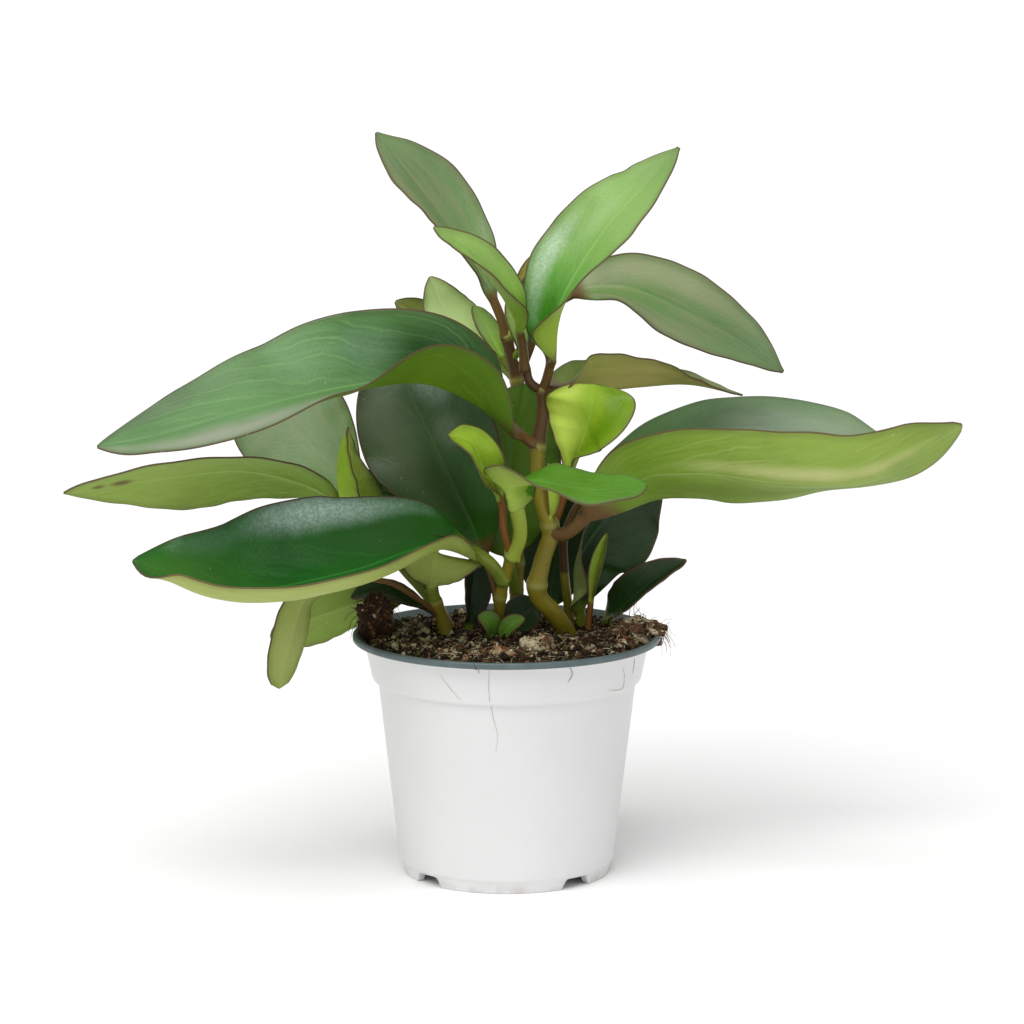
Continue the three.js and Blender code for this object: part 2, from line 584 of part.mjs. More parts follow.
// Turns a profile of radius and height round the pot's axis into one closed skin.
function turned(profile, segments) {
  const positions = [];
  const rows = profile.map(([r, z]) => {
    const row = [];
    for (let k = 0; k < segments; k += 1) {
      if (r === 0 && k > 0) {
        row.push(row[0]);
      } else {
        const angle = (2 * Math.PI * k) / segments;
        row.push(positions.length / 3);
        positions.push(r * Math.cos(angle), r * Math.sin(angle), z);
      }
    }
    return row;
  });
  const index = [];
  for (let i = 0; i + 1 < rows.length; i += 1) {
    for (let k = 0; k < segments; k += 1) {
      const next = (k + 1) % segments;
      const corners = [rows[i][k], rows[i][next], rows[i + 1][next], rows[i + 1][k]];
      const [a, b, c, d] = corners;
      if (a !== b) {
        index.push(a, b, d);
      }
      if (c !== d) {
        index.push(b, c, d);
      }
    }
  }
  const geometry = new THREE.BufferGeometry();
  geometry.setAttribute('position', new THREE.Float32BufferAttribute(positions, 3));
  geometry.setIndex(index);
  return geometry;
}

function potProfile() {
  const lipFoot = POT_HEIGHT - LIP_HEIGHT;
  const step = lipFoot - COLLAR_DEPTH + LIP_HEIGHT;
  return [
    [0, FOOT_HEIGHT + 0.9],
    [FOOT_RADIUS - 3.2, FOOT_HEIGHT + 0.9],
    [FOOT_RADIUS - 2.6, 0],
    [FOOT_RADIUS, 0],
    [FOOT_RADIUS + 0.9, FOOT_HEIGHT],
    [WALL_FOOT_RADIUS, FOOT_HEIGHT + 1],
    [WALL_TOP_RADIUS, step - 1],
    [COLLAR_FOOT_RADIUS - 0.5, step - 0.4],
    [COLLAR_FOOT_RADIUS, step + 0.6],
    [COLLAR_TOP_RADIUS, lipFoot],
    [LIP_RADIUS - 0.3, lipFoot],
    [LIP_RADIUS, lipFoot + 0.5],
    [LIP_RADIUS, POT_HEIGHT - 0.5],
    [LIP_RADIUS - 0.6, POT_HEIGHT],
    [LIP_RADIUS - 1.6, POT_HEIGHT],
    [COLLAR_TOP_RADIUS - WALL_THICKNESS, lipFoot - 0.5],
    [WALL_TOP_RADIUS - WALL_THICKNESS + 0.6, step],
    [WALL_FOOT_RADIUS - WALL_THICKNESS, FOOT_HEIGHT + 2.4],
    [0, FOOT_HEIGHT + 2.4],
  ];
}

// Four notches with slanted ends let water out between the feet.
function buildPot() {
  let pot = toManifold(turned(potProfile(), POT_SEGMENTS));
  for (const angle of NOTCH_ANGLES) {
    const shape = new THREE.Shape();
    shape.moveTo(-NOTCH_WIDTH / 2 - 1.6, -1);
    shape.lineTo(NOTCH_WIDTH / 2 + 1.6, -1);
    shape.lineTo(NOTCH_WIDTH / 2 - 1.2, FOOT_HEIGHT - 0.2);
    shape.lineTo(-NOTCH_WIDTH / 2 + 1.2, FOOT_HEIGHT - 0.2);
    const notch = new THREE.ExtrudeGeometry(shape, { depth: 12, bevelEnabled: false });
    notch.rotateX(Math.PI / 2);
    notch.translate(0, -FOOT_RADIUS + 6, 0);
    notch.rotateZ(THREE.MathUtils.degToRad(angle));
    pot = pot.subtract(toManifold(welded(notch)));
  }
  return toGeometry(pot);
}

// Gives one number to all points that share a place.
function welded(geometry) {
  const source = geometry.getAttribute('position');
  const numbers = new Map();
  const positions = [];
  const index = [];
  for (let i = 0; i < source.count; i += 1) {
    const place = [source.getX(i), source.getY(i), source.getZ(i)];
    const key = place.map((value) => value.toFixed(4)).join(' ');
    if (!numbers.has(key)) {
      numbers.set(key, positions.length / 3);
      positions.push(...place);
    }
    index.push(numbers.get(key));
  }
  const joined = new THREE.BufferGeometry();
  joined.setAttribute('position', new THREE.Float32BufferAttribute(positions, 3));
  joined.setIndex(index);
  return joined;
}

// The height of the peat at a place: a low dome with lumps, and a rise towards the wall.
function soilHeight(x, y) {
  const dome = SOIL_DOME * (1 - (x * x + y * y) / 53 ** 2);
  const lumps = Math.sin(x * 0.31 + 1) * Math.cos(y * 0.27) + 0.6 * Math.sin(x * 0.13 - y * 0.22);
  const rise = SOIL_RISE * smooth((Math.hypot(x, y) - RISE_START) / RISE_START);
  return SOIL_LEVEL + dome + rise + 0.6 * lumps;
}

function soilGeometry(extra) {
  const inner = COLLAR_TOP_RADIUS - WALL_THICKNESS - SEAT_GAP;
  const step = POT_HEIGHT - COLLAR_DEPTH;
  const profile = [
    [0, FOOT_HEIGHT + 2.7],
    [WALL_FOOT_RADIUS - WALL_THICKNESS - 0.4, FOOT_HEIGHT + 2.7],
    [WALL_TOP_RADIUS - WALL_THICKNESS + 0.2, step],
    [inner - 1, SOIL_LEVEL - 1.5],
  ];
  for (const radius of [46, 35, 23, 11, 0]) {
    profile.push([radius, SOIL_LEVEL]);
  }
  const geometry = turned(profile, SOIL_SEGMENTS);
  const position = geometry.getAttribute('position');
  for (let i = 0; i < position.count; i += 1) {
    if (position.getZ(i) === SOIL_LEVEL) {
      position.setZ(i, soilHeight(position.getX(i), position.getY(i)) + extra);
    }
  }
  return geometry;
}

function buildSoil() {
  let soil = toManifold(soilGeometry(0));
  for (const stem of Object.values(STEMS)) {
    if (stem.path[0][2] < SOIL_LEVEL) {
      soil = soil.subtract(toManifold(stemGeometry(stem, SEAT_GAP)));
    }
  }
  for (const leaf of Object.values(LEAVES)) {
    if (leaf.on === 'soil') {
      soil = soil.subtract(toManifold(leafShape(leaf, SEAT_GAP)));
    }
  }
  return toGeometry(soil);
}

// A lumpy ball of peat, cut where it rests on the soil, the pot or another piece.
function clumpGeometry(clump) {
  const ball = welded(new THREE.IcosahedronGeometry(1, clump.detail));
  const position = ball.getAttribute('position');
  for (let i = 0; i < position.count; i += 1) {
    const p = new THREE.Vector3().fromBufferAttribute(position, i);
    const bump = 1 + 0.14 * Math.sin(5 * p.x + clump.vary) * Math.cos(4 * p.y - clump.vary)
      + 0.1 * Math.sin(7 * p.z + 2 * clump.vary + 3 * p.x);
    position.setXYZ(
      i,
      clump.at[0] + p.x * bump * clump.size[0],
      clump.at[1] + p.y * bump * clump.size[1],
      clump.at[2] + p.z * bump * clump.size[2],
    );
  }
  return ball;
}

// A clump rests on the soil and on the lip, and stays just off both.
function buildClump(clump) {
  const lipRoom = turned([
    [COLLAR_TOP_RADIUS - 2, SOIL_LEVEL - 20],
    [LIP_RADIUS + 2, SOIL_LEVEL - 20],
    [LIP_RADIUS + 2, POT_HEIGHT + SEAT_GAP],
    [COLLAR_TOP_RADIUS - 2, POT_HEIGHT + SEAT_GAP],
    [COLLAR_TOP_RADIUS - 2, SOIL_LEVEL - 20],
  ], POT_SEGMENTS);
  const ball = toManifold(clumpGeometry(clump));
  return toGeometry(ball
    .subtract(toManifold(welded(soilGeometry(SEAT_GAP).toNonIndexed())))
    .subtract(toManifold(welded(lipRoom.toNonIndexed()))));
}

// Puts the pieces together.

const potted = new THREE.Group();
potted.name = 'potted_peperomia';

function addPiece(name, geometry, colour, roughness) {
  const material = new THREE.MeshStandardMaterial({ color: colour, roughness });
  const mesh = new THREE.Mesh(geometry, material);
  mesh.name = name;
  potted.add(mesh);
}

addPiece('pot', buildPot(), COLOURS.pot, 0.45);
addPiece('soil', buildSoil(), COLOURS.soil, 1);
for (const [name, clump] of Object.entries(CLUMPS)) {
  addPiece(name, buildClump(clump), COLOURS.clump, 1);
}
for (const [name, stem] of Object.entries(STEMS)) {
  addPiece(name, seated(stemGeometry(stem, 0), stem), COLOURS.stem, 0.6);
}
for (const [name, leaf] of Object.entries(LEAVES)) {
  addPiece(name, seated(leafShape(leaf, 0), leaf), COLOURS.leaf, 0.4);
}

export default potted;
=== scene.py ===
import math

import bpy
import numpy as np
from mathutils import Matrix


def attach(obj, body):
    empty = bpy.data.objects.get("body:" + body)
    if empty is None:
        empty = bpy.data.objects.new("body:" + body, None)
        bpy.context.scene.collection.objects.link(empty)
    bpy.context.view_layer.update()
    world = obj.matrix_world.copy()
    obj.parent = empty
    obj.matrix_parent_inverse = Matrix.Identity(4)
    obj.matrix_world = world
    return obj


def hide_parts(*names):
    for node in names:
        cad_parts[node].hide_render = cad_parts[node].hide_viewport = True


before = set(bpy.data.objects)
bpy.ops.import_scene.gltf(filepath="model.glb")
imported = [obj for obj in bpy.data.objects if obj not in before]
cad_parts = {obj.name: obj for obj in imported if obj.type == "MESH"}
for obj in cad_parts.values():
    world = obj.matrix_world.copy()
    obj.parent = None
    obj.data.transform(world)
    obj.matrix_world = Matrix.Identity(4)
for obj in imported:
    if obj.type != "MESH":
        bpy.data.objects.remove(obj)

bl_info = {
    "name": "Potted Peperomia",
    "version": (1, 0, 0),
    "blender": (4, 5, 0),
    "location": "View3D > Sidebar > Peperomia",
    "description": "Grows a bushy peperomia in a white nursery pot from curves and formulas",
    "category": "Add Mesh",
}

# Lengths in the tables are in millimetres and become metres when a mesh is made.
MM = 0.001
SEED = 7

# Pot: the corners of its profile are worked out from these sizes.
POT_HEIGHT = 94.5
LIP_RADIUS = 60
LIP_HEIGHT = 2.7
COLLAR_TOP_RADIUS = 55.5
COLLAR_FOOT_RADIUS = 52.6
COLLAR_DEPTH = 17.5
WALL_TOP_RADIUS = 50.4
WALL_FOOT_RADIUS = 42
FOOT_RADIUS = 40.2
FOOT_HEIGHT = 4.4
WALL_THICKNESS = 1.1
NOTCH_ANGLES = (-49, 42, 132, 225)
NOTCH_WIDTH = 12
DENT_ANGLE = 184
DENT_HEIGHT = 66
LIP_FOOT = POT_HEIGHT - LIP_HEIGHT
COLLAR_STEP = POT_HEIGHT - COLLAR_DEPTH

# Peat: a low dome with lumps that rises again towards the wall.
SOIL_LEVEL = 90
SOIL_DOME = 1.5
DOME_REACH = 53
SOIL_RISE = 2.5
RISE_START = 25
LUMP_HEIGHT = 0.6
SOIL_RADIUS = COLLAR_TOP_RADIUS - WALL_THICKNESS - 0.4
SOIL_SEGMENTS = 240
SOIL_RINGS = 80

# Steps round and along a clump, its loose crumbs, and the points of fibres and hairs.
CLUMP_SEGMENTS = 90
CLUMP_RINGS = 60
CLUMP_CRUMBS = 160
CLUMP_FIBRE_POINTS = 9
PEAT_FIBRE_POINTS = 8
HAIR_POINTS = 24
STRAND_SIDES = 4

# Leaf blades: the same form as the plain solids, with a finer grid.
BLADE_HALF_THICKNESS = 0.5
MARGIN_THINNING = 0.15
KEEL_DEPTH = 0.8
KEEL_WIDTH = 0.3
GROOVE_DEPTH = 0.3
GROOVE_WIDTH = 0.8
HINGE_WIDTH = 0.15
BLADE_START = 0.18
TIP_EASE = 0.12
STALK_RADIUS = 1.8
STALK_ROUNDNESS = 0.91
STALK_TAPER = 0.75
ROOT_SWELL = 0.3
ROOT_REACH = 3
FLUTTER = 0.35
FINE_FLUTTER = 0.18
QUILT_DEPTH = 0.12
VEIN_COUNT = 7
LARGE_LEAF = 15
SMALL_LEAF_STATIONS = 0.6
SECTION_STEPS = 40
ACROSS = np.array([0, 1, 2, 3, 4, 6, 8, 12, 16, 20, 24, 28, 32, 35, 37, 39, 40]) / SECTION_STEPS

# Outlines: the powers of the distance from the base and of the distance from the tip.
OVAL = (0.85, 0.72)
TAPERED = (0.85, 0.95)
WIDE_BASE = (0.65, 0.78)
LANCE = (1, 0.8)

# Stem nodes: the share that the radius swells and how far along, and the groove just above.
NODE_SWELL = 0.22
NODE_REACH = 3
NODE_GROOVE = 0.07
GROOVE_PLACE = 2.2
GROOVE_REACH = 0.6
DOME_POINTS = 5

# Stems: a route, radii along it, the places of the swollen nodes and of brown stretches.
STEMS = {
    "stem_front": dict(
        path=[(27, 14, 82), (24, 12, 91), (19, 6, 100), (12, 1, 110), (14, 0, 123), (17, 0, 134),
              (14, -1, 145), (12, -2, 159), (12, -2, 168), (14, -1, 180), (14, 0, 190)],
        radius=[3.6, 3.6, 3.3, 2.8, 2.4], nodes=[0.33, 0.54, 0.81, 1], brown=0.8),
    "stem_front_fork": dict(
        path=[(14, 0, 189), (9, -2, 193), (7, -3, 199)], radius=[1.8, 1.8], nodes=[1], brown=0),
    "stem_rear": dict(
        path=[(5, 31, 82), (4, 29, 100), (4, 27, 118), (4, 25, 142), (4, 23, 167), (4, 22, 190),
              (2, 21, 199), (0, 20, 208)],
        radius=[2.9, 2.8, 2.7, 2.6, 2.1], nodes=[0.28, 0.54, 0.86, 1], brown=0.87),
    "stem_short": dict(
        path=[(-5, 14, 82), (-4, 11, 92), (-3, 4, 102), (-2, -1, 111), (2, -5, 126)],
        radius=[2.4, 2.2, 2.2], nodes=[0.63, 1], brown=1.2),
    "stem_left": dict(
        path=[(-22, 6, 82), (-23, 6, 90), (-25, 6, 98), (-28, 4, 106)],
        radius=[2.7, 2.5], nodes=[1], brown=1.2),
    "stem_left_rear": dict(
        path=[(-21, 22, 82), (-23, 22, 92), (-28, 22, 102), (-32, 22, 110)],
        radius=[2.5, 2.3], nodes=[1], brown=1.2),
    "stem_right": dict(
        path=[(25, 24, 82), (25, 23, 93), (23, 21, 112), (22, 19, 129)],
        radius=[1.9, 1.7], nodes=[1], brown=0.7),
}

# Stage: degrees that the soft light is tilted back and to one side and that it spans, the
# camera's distance from the middle plane, its sensor, and half the floor in metres.
LIGHT_TILT = 30
LIGHT_LEAN = -16
LIGHT_SPAN = 50
CAMERA_ASIDE = 2.1
SENSOR_WIDTH = 36
FLOOR_REACH = 30

# Leaves: each goes from its root along its midrib to its tip. "face" is the way that the
# upper side looks at the base, the middle and the tip, or all along. Folds and curls are degrees.
# "tones" names the colours of the upper side, the underside and the stalk. A patch or a painted
# sheen on the upper side, or a blemish or painted light on the underside, is a place along and
# across the blade, its reach both ways, its strength and its colour. A painted sheen is a highlight
# painted into the colour. On some leaves patches also hold painted shadow, sheen and light, and
# blemishes hold painted light on shaded undersides. A nick is a place, a side, a depth and a reach.
LEAVES = {
    "leaf_top_left": dict(
        half=17.5, outline=(1.15, 0.9), stalk=0.14, slot="leaf_grey", tones=("grey", "lime", "brown"),
        path=[(0, 20, 207), (-2.5, 20, 216), (-12, 24, 235), (-29.5, 32, 259), (-51, 38, 286)],
        face=[(0.6, -0.75, 0.3), (0.75, -0.6, 0.3), (0.6, -0.7, 0.4)], left=[30, 15, 5],
        right=[30, 20, 5], curl=[20, 20],
        patches=[(0.5, 0.8, 0.6, 0.5, 0.6, (162, 158, 116)), (0.5, 0, 0.9, 1.4, 0.35, (92, 110, 74))]),
    "leaf_top_front": dict(
        half=9, outline=(0.85, 0.85), stalk=0.2, slot="leaf_young", tones=("fresh", "lime", "brown"),
        path=[(7, -3, 198), (5.8, -9, 210), (1.7, -20.5, 224.2), (-10.8, -34, 242.8), (-27, -44, 257)],
        face=[(0.7, -0.5, 0.5), (0.5, -0.75, 0.5), (0.3, -0.8, 0.5)], left=[110, 55, 30],
        right=[45, 30, 10], curl=[10, 15]),
    "leaf_top_right": dict(
        half=19, outline=TAPERED, stalk=0.1, slot="leaf_bright", tones=("bright", "lime", "brown"),
        path=[(14, 0, 189), (17, -5, 201), (20.5, -12, 224), (37, -14, 252.5), (53, -13, 270.5),
              (65.5, -10, 284)],
        face=[(-0.7, -0.5, 0.4), (-0.5, -0.8, 0.4), (-0.5, -0.8, 0.4)], left=[100, 50, 8, -5, 0],
        right=[125, 45, 20, 8], curl=[15, 12], nicks=[(0.8, 1, 0.09, 0.03)],
        patches=[(0.98, 0, 0.25, 1.6, 0.6, (106, 136, 76)), (0.15, 0, 0.2, 1.2, 0.4, (66, 140, 10))],
        painted_sheens=[(0.36, 0.72, 0.26, 0.3, 0.75, (200, 220, 196)),
                (0.6, 0.3, 0.2, 0.3, 0.3, (172, 206, 150))],
        blemishes_and_painted_light=[(0.1, 0, 0.4, 1.6, 0.6, (168, 192, 66))]),
    "leaf_top_bud": dict(
        half=5, outline=LANCE, stalk=0.2, radius=1.1, slot="leaf_bright",
        tones=("bright", "lime", "green"),
        path=[(7, -3, 198), (6, 2, 203), (5, 4, 211), (3, 5, 219), (1, 4, 226)],
        face=[(0.2, -1, 0.1)], left=[40, 30, 10], right=[40, 30, 10], curl=[10, 10],
        patches=[(0.5, 0, 1, 1.6, 0.6, (176, 198, 92))],
        blemishes_and_painted_light=[(0.5, 0, 1, 1.6, 0.8, (190, 206, 100))]),
    "leaf_top_yellow": dict(
        half=6, outline=LANCE, stalk=0.2, radius=1.2, slot="leaf_young",
        tones=("straw", "yellow", "yellow"),
        path=[(0, 20, 207), (4, 18, 213), (8, 17, 222), (9.5, 17, 232), (10, 16, 240)],
        face=[(-0.3, -0.9, 0.2), (-0.2, -1, 0.2), (0, -1, 0.2)], left=[40, 20, 5], right=[40, 20, 5],
        curl=[15, 15]),
    "leaf_top_inner": dict(
        half=6, outline=LANCE, stalk=0.2, radius=1.2, slot="leaf_dark",
        tones=("dark", "olive", "green"),
        path=[(2, 21, 199), (7, 16, 206), (9, 11, 217), (8, 10, 233)],
        face=[(-0.3, -0.9, 0.2), (-0.2, -1, 0.2), (0, -1, 0.2)], left=[40, 20, 5], right=[40, 20, 5],
        curl=[15, 15]),
    "leaf_right_upper": dict(
        half=16.5, outline=(0.8, 0.9), stalk=0.3, slot="leaf_grey", tones=("grey", "tan", "brown"),
        path=[(4, 22, 190), (8, 23, 201), (14, 26, 215), (27, 31, 224), (45, 38, 225.5), (66, 44, 217),
              (90, 46, 204), (109.5, 42, 191)],
        face=[(-0.3, -0.7, 0.65), (0.1, -0.8, 0.55), (0.4, -0.8, 0.45)], left=[30, 10, 5],
        right=[30, 10, 5], curl=[10, 10],
        # The pale grey-tan patches are painted sheen.
        patches=[(0.4, 0.6, 0.5, 0.5, 0.7, (170, 174, 136)), (0.85, 0, 0.5, 1.4, 0.45, (72, 100, 64)),
                 (0.1, 0.3, 0.25, 0.8, 0.6, (172, 176, 146)),
                 (0.3, -0.8, 0.5, 0.4, 0.5, (156, 154, 124))]),
    "leaf_right_middle": dict(
        half=15, outline=(0.3, 0.8), stalk=0.04, slot="leaf_grey", tones=("grey", "tan", "brown"),
        path=[(14, 0, 189), (20, 3, 190), (36, 12, 188.5), (52, 22, 188.5), (72, 31, 188),
              (93, 34, 183)],
        face=[(-0.1, 0, 1), (0, 0, 1), (0.1, 0, 1)], left=[55, 45, 35, 25, 10],
        right=[80, 75, 60, 15, 0], curl=[2, 5],
        patches=[(0.4, 0, 1, 1.6, 0.6, (140, 140, 50))],
        blemishes_and_painted_light=[(0.4, 0, 0.8, 1.6, 0.8, (174, 164, 92))]),
    "leaf_rear_pale": dict(
        half=11.5, outline=(0.85, 0.8), stalk=0.2, radius=1.5, slot="leaf_young",
        tones=("fresh", "lime", "green"),
        path=[(4, 22, 190), (-4, 28, 197), (-16, 32, 207), (-25, 34, 217), (-30, 32, 230)],
        face=[(0.6, -0.6, 0.5), (0.5, -0.7, 0.5), (0.3, -0.9, 0.3)], left=[20, 10, 5],
        right=[20, 10, 5], curl=[15, 15],
        patches=[(0.6, 0, 1.2, 1.6, 0.8, (224, 244, 164)), (0.6, 0, 0.8, 1.5, 0.7, (204, 228, 160))]),
    "leaf_rear_yellow": dict(
        half=8, outline=OVAL, stalk=0.3, radius=1.4, slot="leaf_young", tones=("leek", "tan", "green"),
        path=[(4, 23, 176), (-5, 33, 190), (-23, 42, 204), (-34, 44, 213), (-44, 42, 219)],
        face=[(0.3, -0.8, 0.5), (0.3, -0.8, 0.5), (0.2, -0.9, 0.4)], left=[20, 10, 5],
        right=[20, 10, 5], curl=[15, 15],
        patches=[(0.6, 0, 1.2, 1.6, 0.8, (146, 142, 80))]),
    "leaf_rear_grey": dict(
        half=5.5, outline=OVAL, stalk=0.2, radius=1.2, slot="leaf_grey",
        tones=("fresh", "lime", "green"),
        path=[(3, 22, 194), (-3, 24, 201), (-8, 27, 210), (-13, 29, 219)],
        face=[(0.6, -0.7, 0.4), (0.6, -0.7, 0.4), (0.5, -0.7, 0.4)], left=[20, 10, 5],
        right=[20, 10, 5], curl=[15, 15]),
    "leaf_left_large": dict(
        half=29, outline=WIDE_BASE, stalk=0.05, radius=2, slot="leaf_bright",
        tones=("mid", "olive", "brown"),
        path=[(12, -2, 168), (3, -8, 175), (-11, -16, 187), (-31, -26, 197), (-54, -36, 197),
              (-99, -52, 189), (-128, -58, 181), (-152, -62, 177)],
        face=[(0.5, -0.25, 0.75), (0.2, -0.42, 0.9), (-0.2, -0.55, 0.8)], left=[62, 62, 27, 5, 5],
        right=[65, 68, 38, 10, 6, 0], curl=[20, 10],
        # Near-margin grey: a tinge with painted reflection. Small dark patch by the fold: painted
        # shadow.
        patches=[(0.7, 0.65, 0.4, 0.5, 0.8, (162, 162, 146)),
                 (0.28, -0.4, 0.09, 0.6, 0.7, (20, 56, 16)), (0.9, -0.8, 0.3, 0.4, 0.35, (90, 96, 84))],
        painted_sheens=[(0.4, -0.5, 0.1, 0.4, 0.4, (120, 150, 130)),
                (0.24, -0.6, 0.06, 0.4, 0.4, (90, 120, 100))]),
    "leaf_left_middle": dict(
        half=20, outline=(0.8, 0.9), stalk=0.34, slot="leaf_bright", tones=("mid", "lime", "green"),
        path=[(-29, 22, 103), (-38, 18, 113), (-52, 14, 131), (-68, 9, 147), (-99, -4, 159),
              (-133, -16, 158), (-169, -24, 153.5)],
        face=[(0.3, 0.5, 0.9), (0, 0.65, 0.8), (-0.1, 0.7, 0.8)], left=[0, -5, 0], right=[0, -10, 0],
        curl=[-20, -10],
        blemishes_and_painted_light=[(0.8, 0.1, 0.05, 0.2, 0.85, (92, 60, 34)),
                   (0.88, 0.1, 0.03, 0.2, 0.8, (92, 60, 34))]),
    "leaf_left_low": dict(
        half=34, outline=OVAL, stalk=0.1, radius=2.5, slot="leaf_dark", tones=("deep", "pale", "green"),
        path=[(-1, -2, 115), (-7, -9, 124), (-14, -13, 129), (-27, -22, 133), (-60, -42, 126),
              (-104, -56, 121.5), (-139.5, -62, 134)],
        face=[(0.1, -0.4, 0.95), (0, -0.5, 0.87), (-0.1, -0.4, 0.95)], left=[15, 5, 5],
        right=[20, 12, 12], curl=[68, 40],
        patches=[(0.2, -0.4, 0.35, 0.6, 0.6, (52, 88, 38)), (0.9, 0, 0.3, 1, 0.4, (90, 132, 56)),
                 (0.5, 0.8, 0.5, 0.5, 0.9, (88, 138, 58))],
        painted_sheens=[(0.45, 0.45, 0.3, 0.35, 0.45, (128, 150, 130)),
                (0.42, -0.85, 0.3, 0.28, 1, (190, 214, 204)),
                (0.82, -0.8, 0.16, 0.3, 0.3, (120, 150, 130))]),
    "leaf_left_grey": dict(
        half=23, outline=(0.9, 0.65), stalk=0.42, slot="leaf_grey", tones=("grey", "tan", "brown"),
        path=[(-31, 22, 107), (-40, 29, 119), (-56, 33, 141), (-79, 36, 165), (-103, 36, 193)],
        face=[(-0.2, -0.95, 0.2), (-0.2, -0.95, 0.2), (-0.2, -0.95, 0.3)], left=[8, 5, 5],
        right=[8, 5, 5], curl=[8, 8],
        patches=[(0.6, 0, 0.9, 1.2, 0.65, (164, 182, 146))]),
    "leaf_left_dark": dict(
        half=27, outline=(0.85, 0.72), stalk=0.17, radius=1.4, slot="leaf_dark",
        tones=("dark", "olive", "brown"),
        path=[(-3, 2, 106), (-6, 4, 116), (-12, 7, 133), (-25, 9, 161), (-36, 10, 184), (-45, 8, 208)],
        face=[(-0.4, -0.9, 0.2), (-0.3, -0.95, 0.2), (-0.2, -0.95, 0.2)], left=[75, 45, 5, 5],
        right=[15, 5, 5], curl=[10, 10],
        # The grey patch over the left half is painted sheen.
        patches=[(0.65, 0.6, 0.5, 0.65, 0.8, (94, 106, 78)), (0.3, 0.2, 0.25, 0.5, 0.7, (34, 58, 14))],
        painted_sheens=[(0.9, 0.4, 0.2, 0.5, 0.6, (130, 146, 130)),
                (0.8, -0.4, 0.16, 0.5, 0.6, (150, 168, 156)),
                (0.55, -0.3, 0.1, 0.3, 0.5, (120, 132, 112))]),
    "leaf_left_folded": dict(
        half=16, outline=(0.5, 1.05), stalk=0.45, radius=1.3, slot="leaf_dark",
        tones=("dark", "yellow", "green"),
        path=[(-27, 5, 102), (-37, 10, 113), (-50, 8, 128), (-62, 4, 142), (-65, 3, 156),
              (-64, 2, 166), (-61, 2, 175)],
        face=[(0.9, -0.35, 0.1)], left=[50, 55, 55], right=[60, 60, 50], curl=[5, 5],
        # The bright patch is painted light over the shaded upper side.
        patches=[(0.5, 0, 1.2, 1.6, 1, (196, 220, 90))]),
    "leaf_left_small": dict(
        half=5.5, outline=OVAL, stalk=0.4, radius=1.3, slot="leaf_bright",
        tones=("mid", "pale", "green"),
        path=[(-31, 22, 109), (-30, 20, 126), (-34, 17, 138), (-41, 15, 144), (-49, 14, 148),
              (-52, 13, 157)],
        face=[(0.1, -0.8, 0.6)], left=[50, 40, 20], right=[40, 40, 20], curl=[10, 10]),
    "leaf_centre_dark": dict(
        half=20, outline=(0.6, 0.65), stalk=0.2, slot="leaf_dark", tones=("moss", "olive", "green"),
        path=[(4, 28, 105), (2, 23, 114), (0, 19, 135), (2, 18, 160), (7, 16, 190)],
        face=[(0, -1, 0.2)], left=[15, 5, 5], right=[15, 5, 5], curl=[10, 10],
        patches=[(0.5, 0, 1.2, 1.6, 0.4, (100, 130, 40))]),
    "leaf_wavy": dict(
        half=8.5, outline=OVAL, stalk=0.38, radius=1.3, ripple=1.5, slot="leaf_young",
        tones=("young", "yellow", "orange"),
        path=[(2, -5, 125), (-1, -10, 137), (-2, -14, 148), (-8, -22, 160), (-13, -28, 173),
              (-22, -32, 177)],
        face=[(0.5, -0.8, 0.3), (0.4, -0.9, 0.3), (0, -0.7, 0.7)], left=[75, 45, 5], right=[30, 15, 5],
        curl=[15, 15],
        blemishes_and_painted_light=[(0.3, 0, 0.6, 1.6, 0.5, (200, 214, 90))]),
    "leaf_oval_front": dict(
        half=17, outline=(0.6, 0.6), stalk=0.3, radius=2.3, slot="leaf_bright",
        tones=("vivid", "pale", "yellow"),
        path=[(2, -5, 125), (5, -11, 134), (4, -20, 146), (1, -29, 156), (10, -38, 160),
              (33, -47, 158), (53, -46, 160)],
        face=[(-0.2, -0.9, 0.3), (0, -0.5, 0.85), (0.1, -0.35, 0.95)], left=[10, -20, -20, -15, 0],
        right=[90, 60, 25, 5, -5], curl=[15, 15],
        # The grey patches are painted sheen.
        patches=[(0.6, -0.9, 0.5, 0.3, 0.4, (120, 140, 100)),
                 (0.1, -0.4, 0.25, 0.7, 0.4, (104, 120, 90))],
        # The blemish at the base is painted light on the funnel, which lies in shade.
        blemishes_and_painted_light=[(0.15, 0, 0.3, 1.6, 0.6, (176, 206, 84))]),
    "leaf_young_folded": dict(
        half=18, outline=(1.8, 0.45), stalk=0.22, radius=1.4, slot="leaf_young",
        tones=("young", "yellow", "orange"),
        path=[(17, 0, 134), (20, 3, 141), (26, 2, 160), (30.5, -3, 174), (33, -8, 185), (34, -7, 193)],
        face=[(-0.3, -0.9, 0.2), (-0.2, -0.8, 0.5), (-0.1, -0.7, 0.6)], left=[60, 45, 25, 0],
        right=[85, 75, 30, -10], curl=[10, 10],
        # Painted light and shade: a bright patch on the left half and a dark one on the right half.
        patches=[(0.7, -0.6, 0.7, 0.6, 0.95, (98, 136, 2)), (0.6, 0.6, 0.7, 0.6, 0.9, (206, 228, 92))],
        blemishes_and_painted_light=[(0.5, 0, 1, 1.6, 0.4, (170, 200, 60))]),
    "leaf_right_front": dict(
        half=22, outline=(0.45, 0.5), stalk=0.1, radius=2.4, slot="leaf_bright",
        tones=("mid", "lime", "brown"),
        path=[(17, 0, 134), (23, -3, 134), (33, -6, 143), (51, -10, 157), (74, -20, 161),
              (108, -32, 159), (137, -40, 162), (171, -44, 183)],
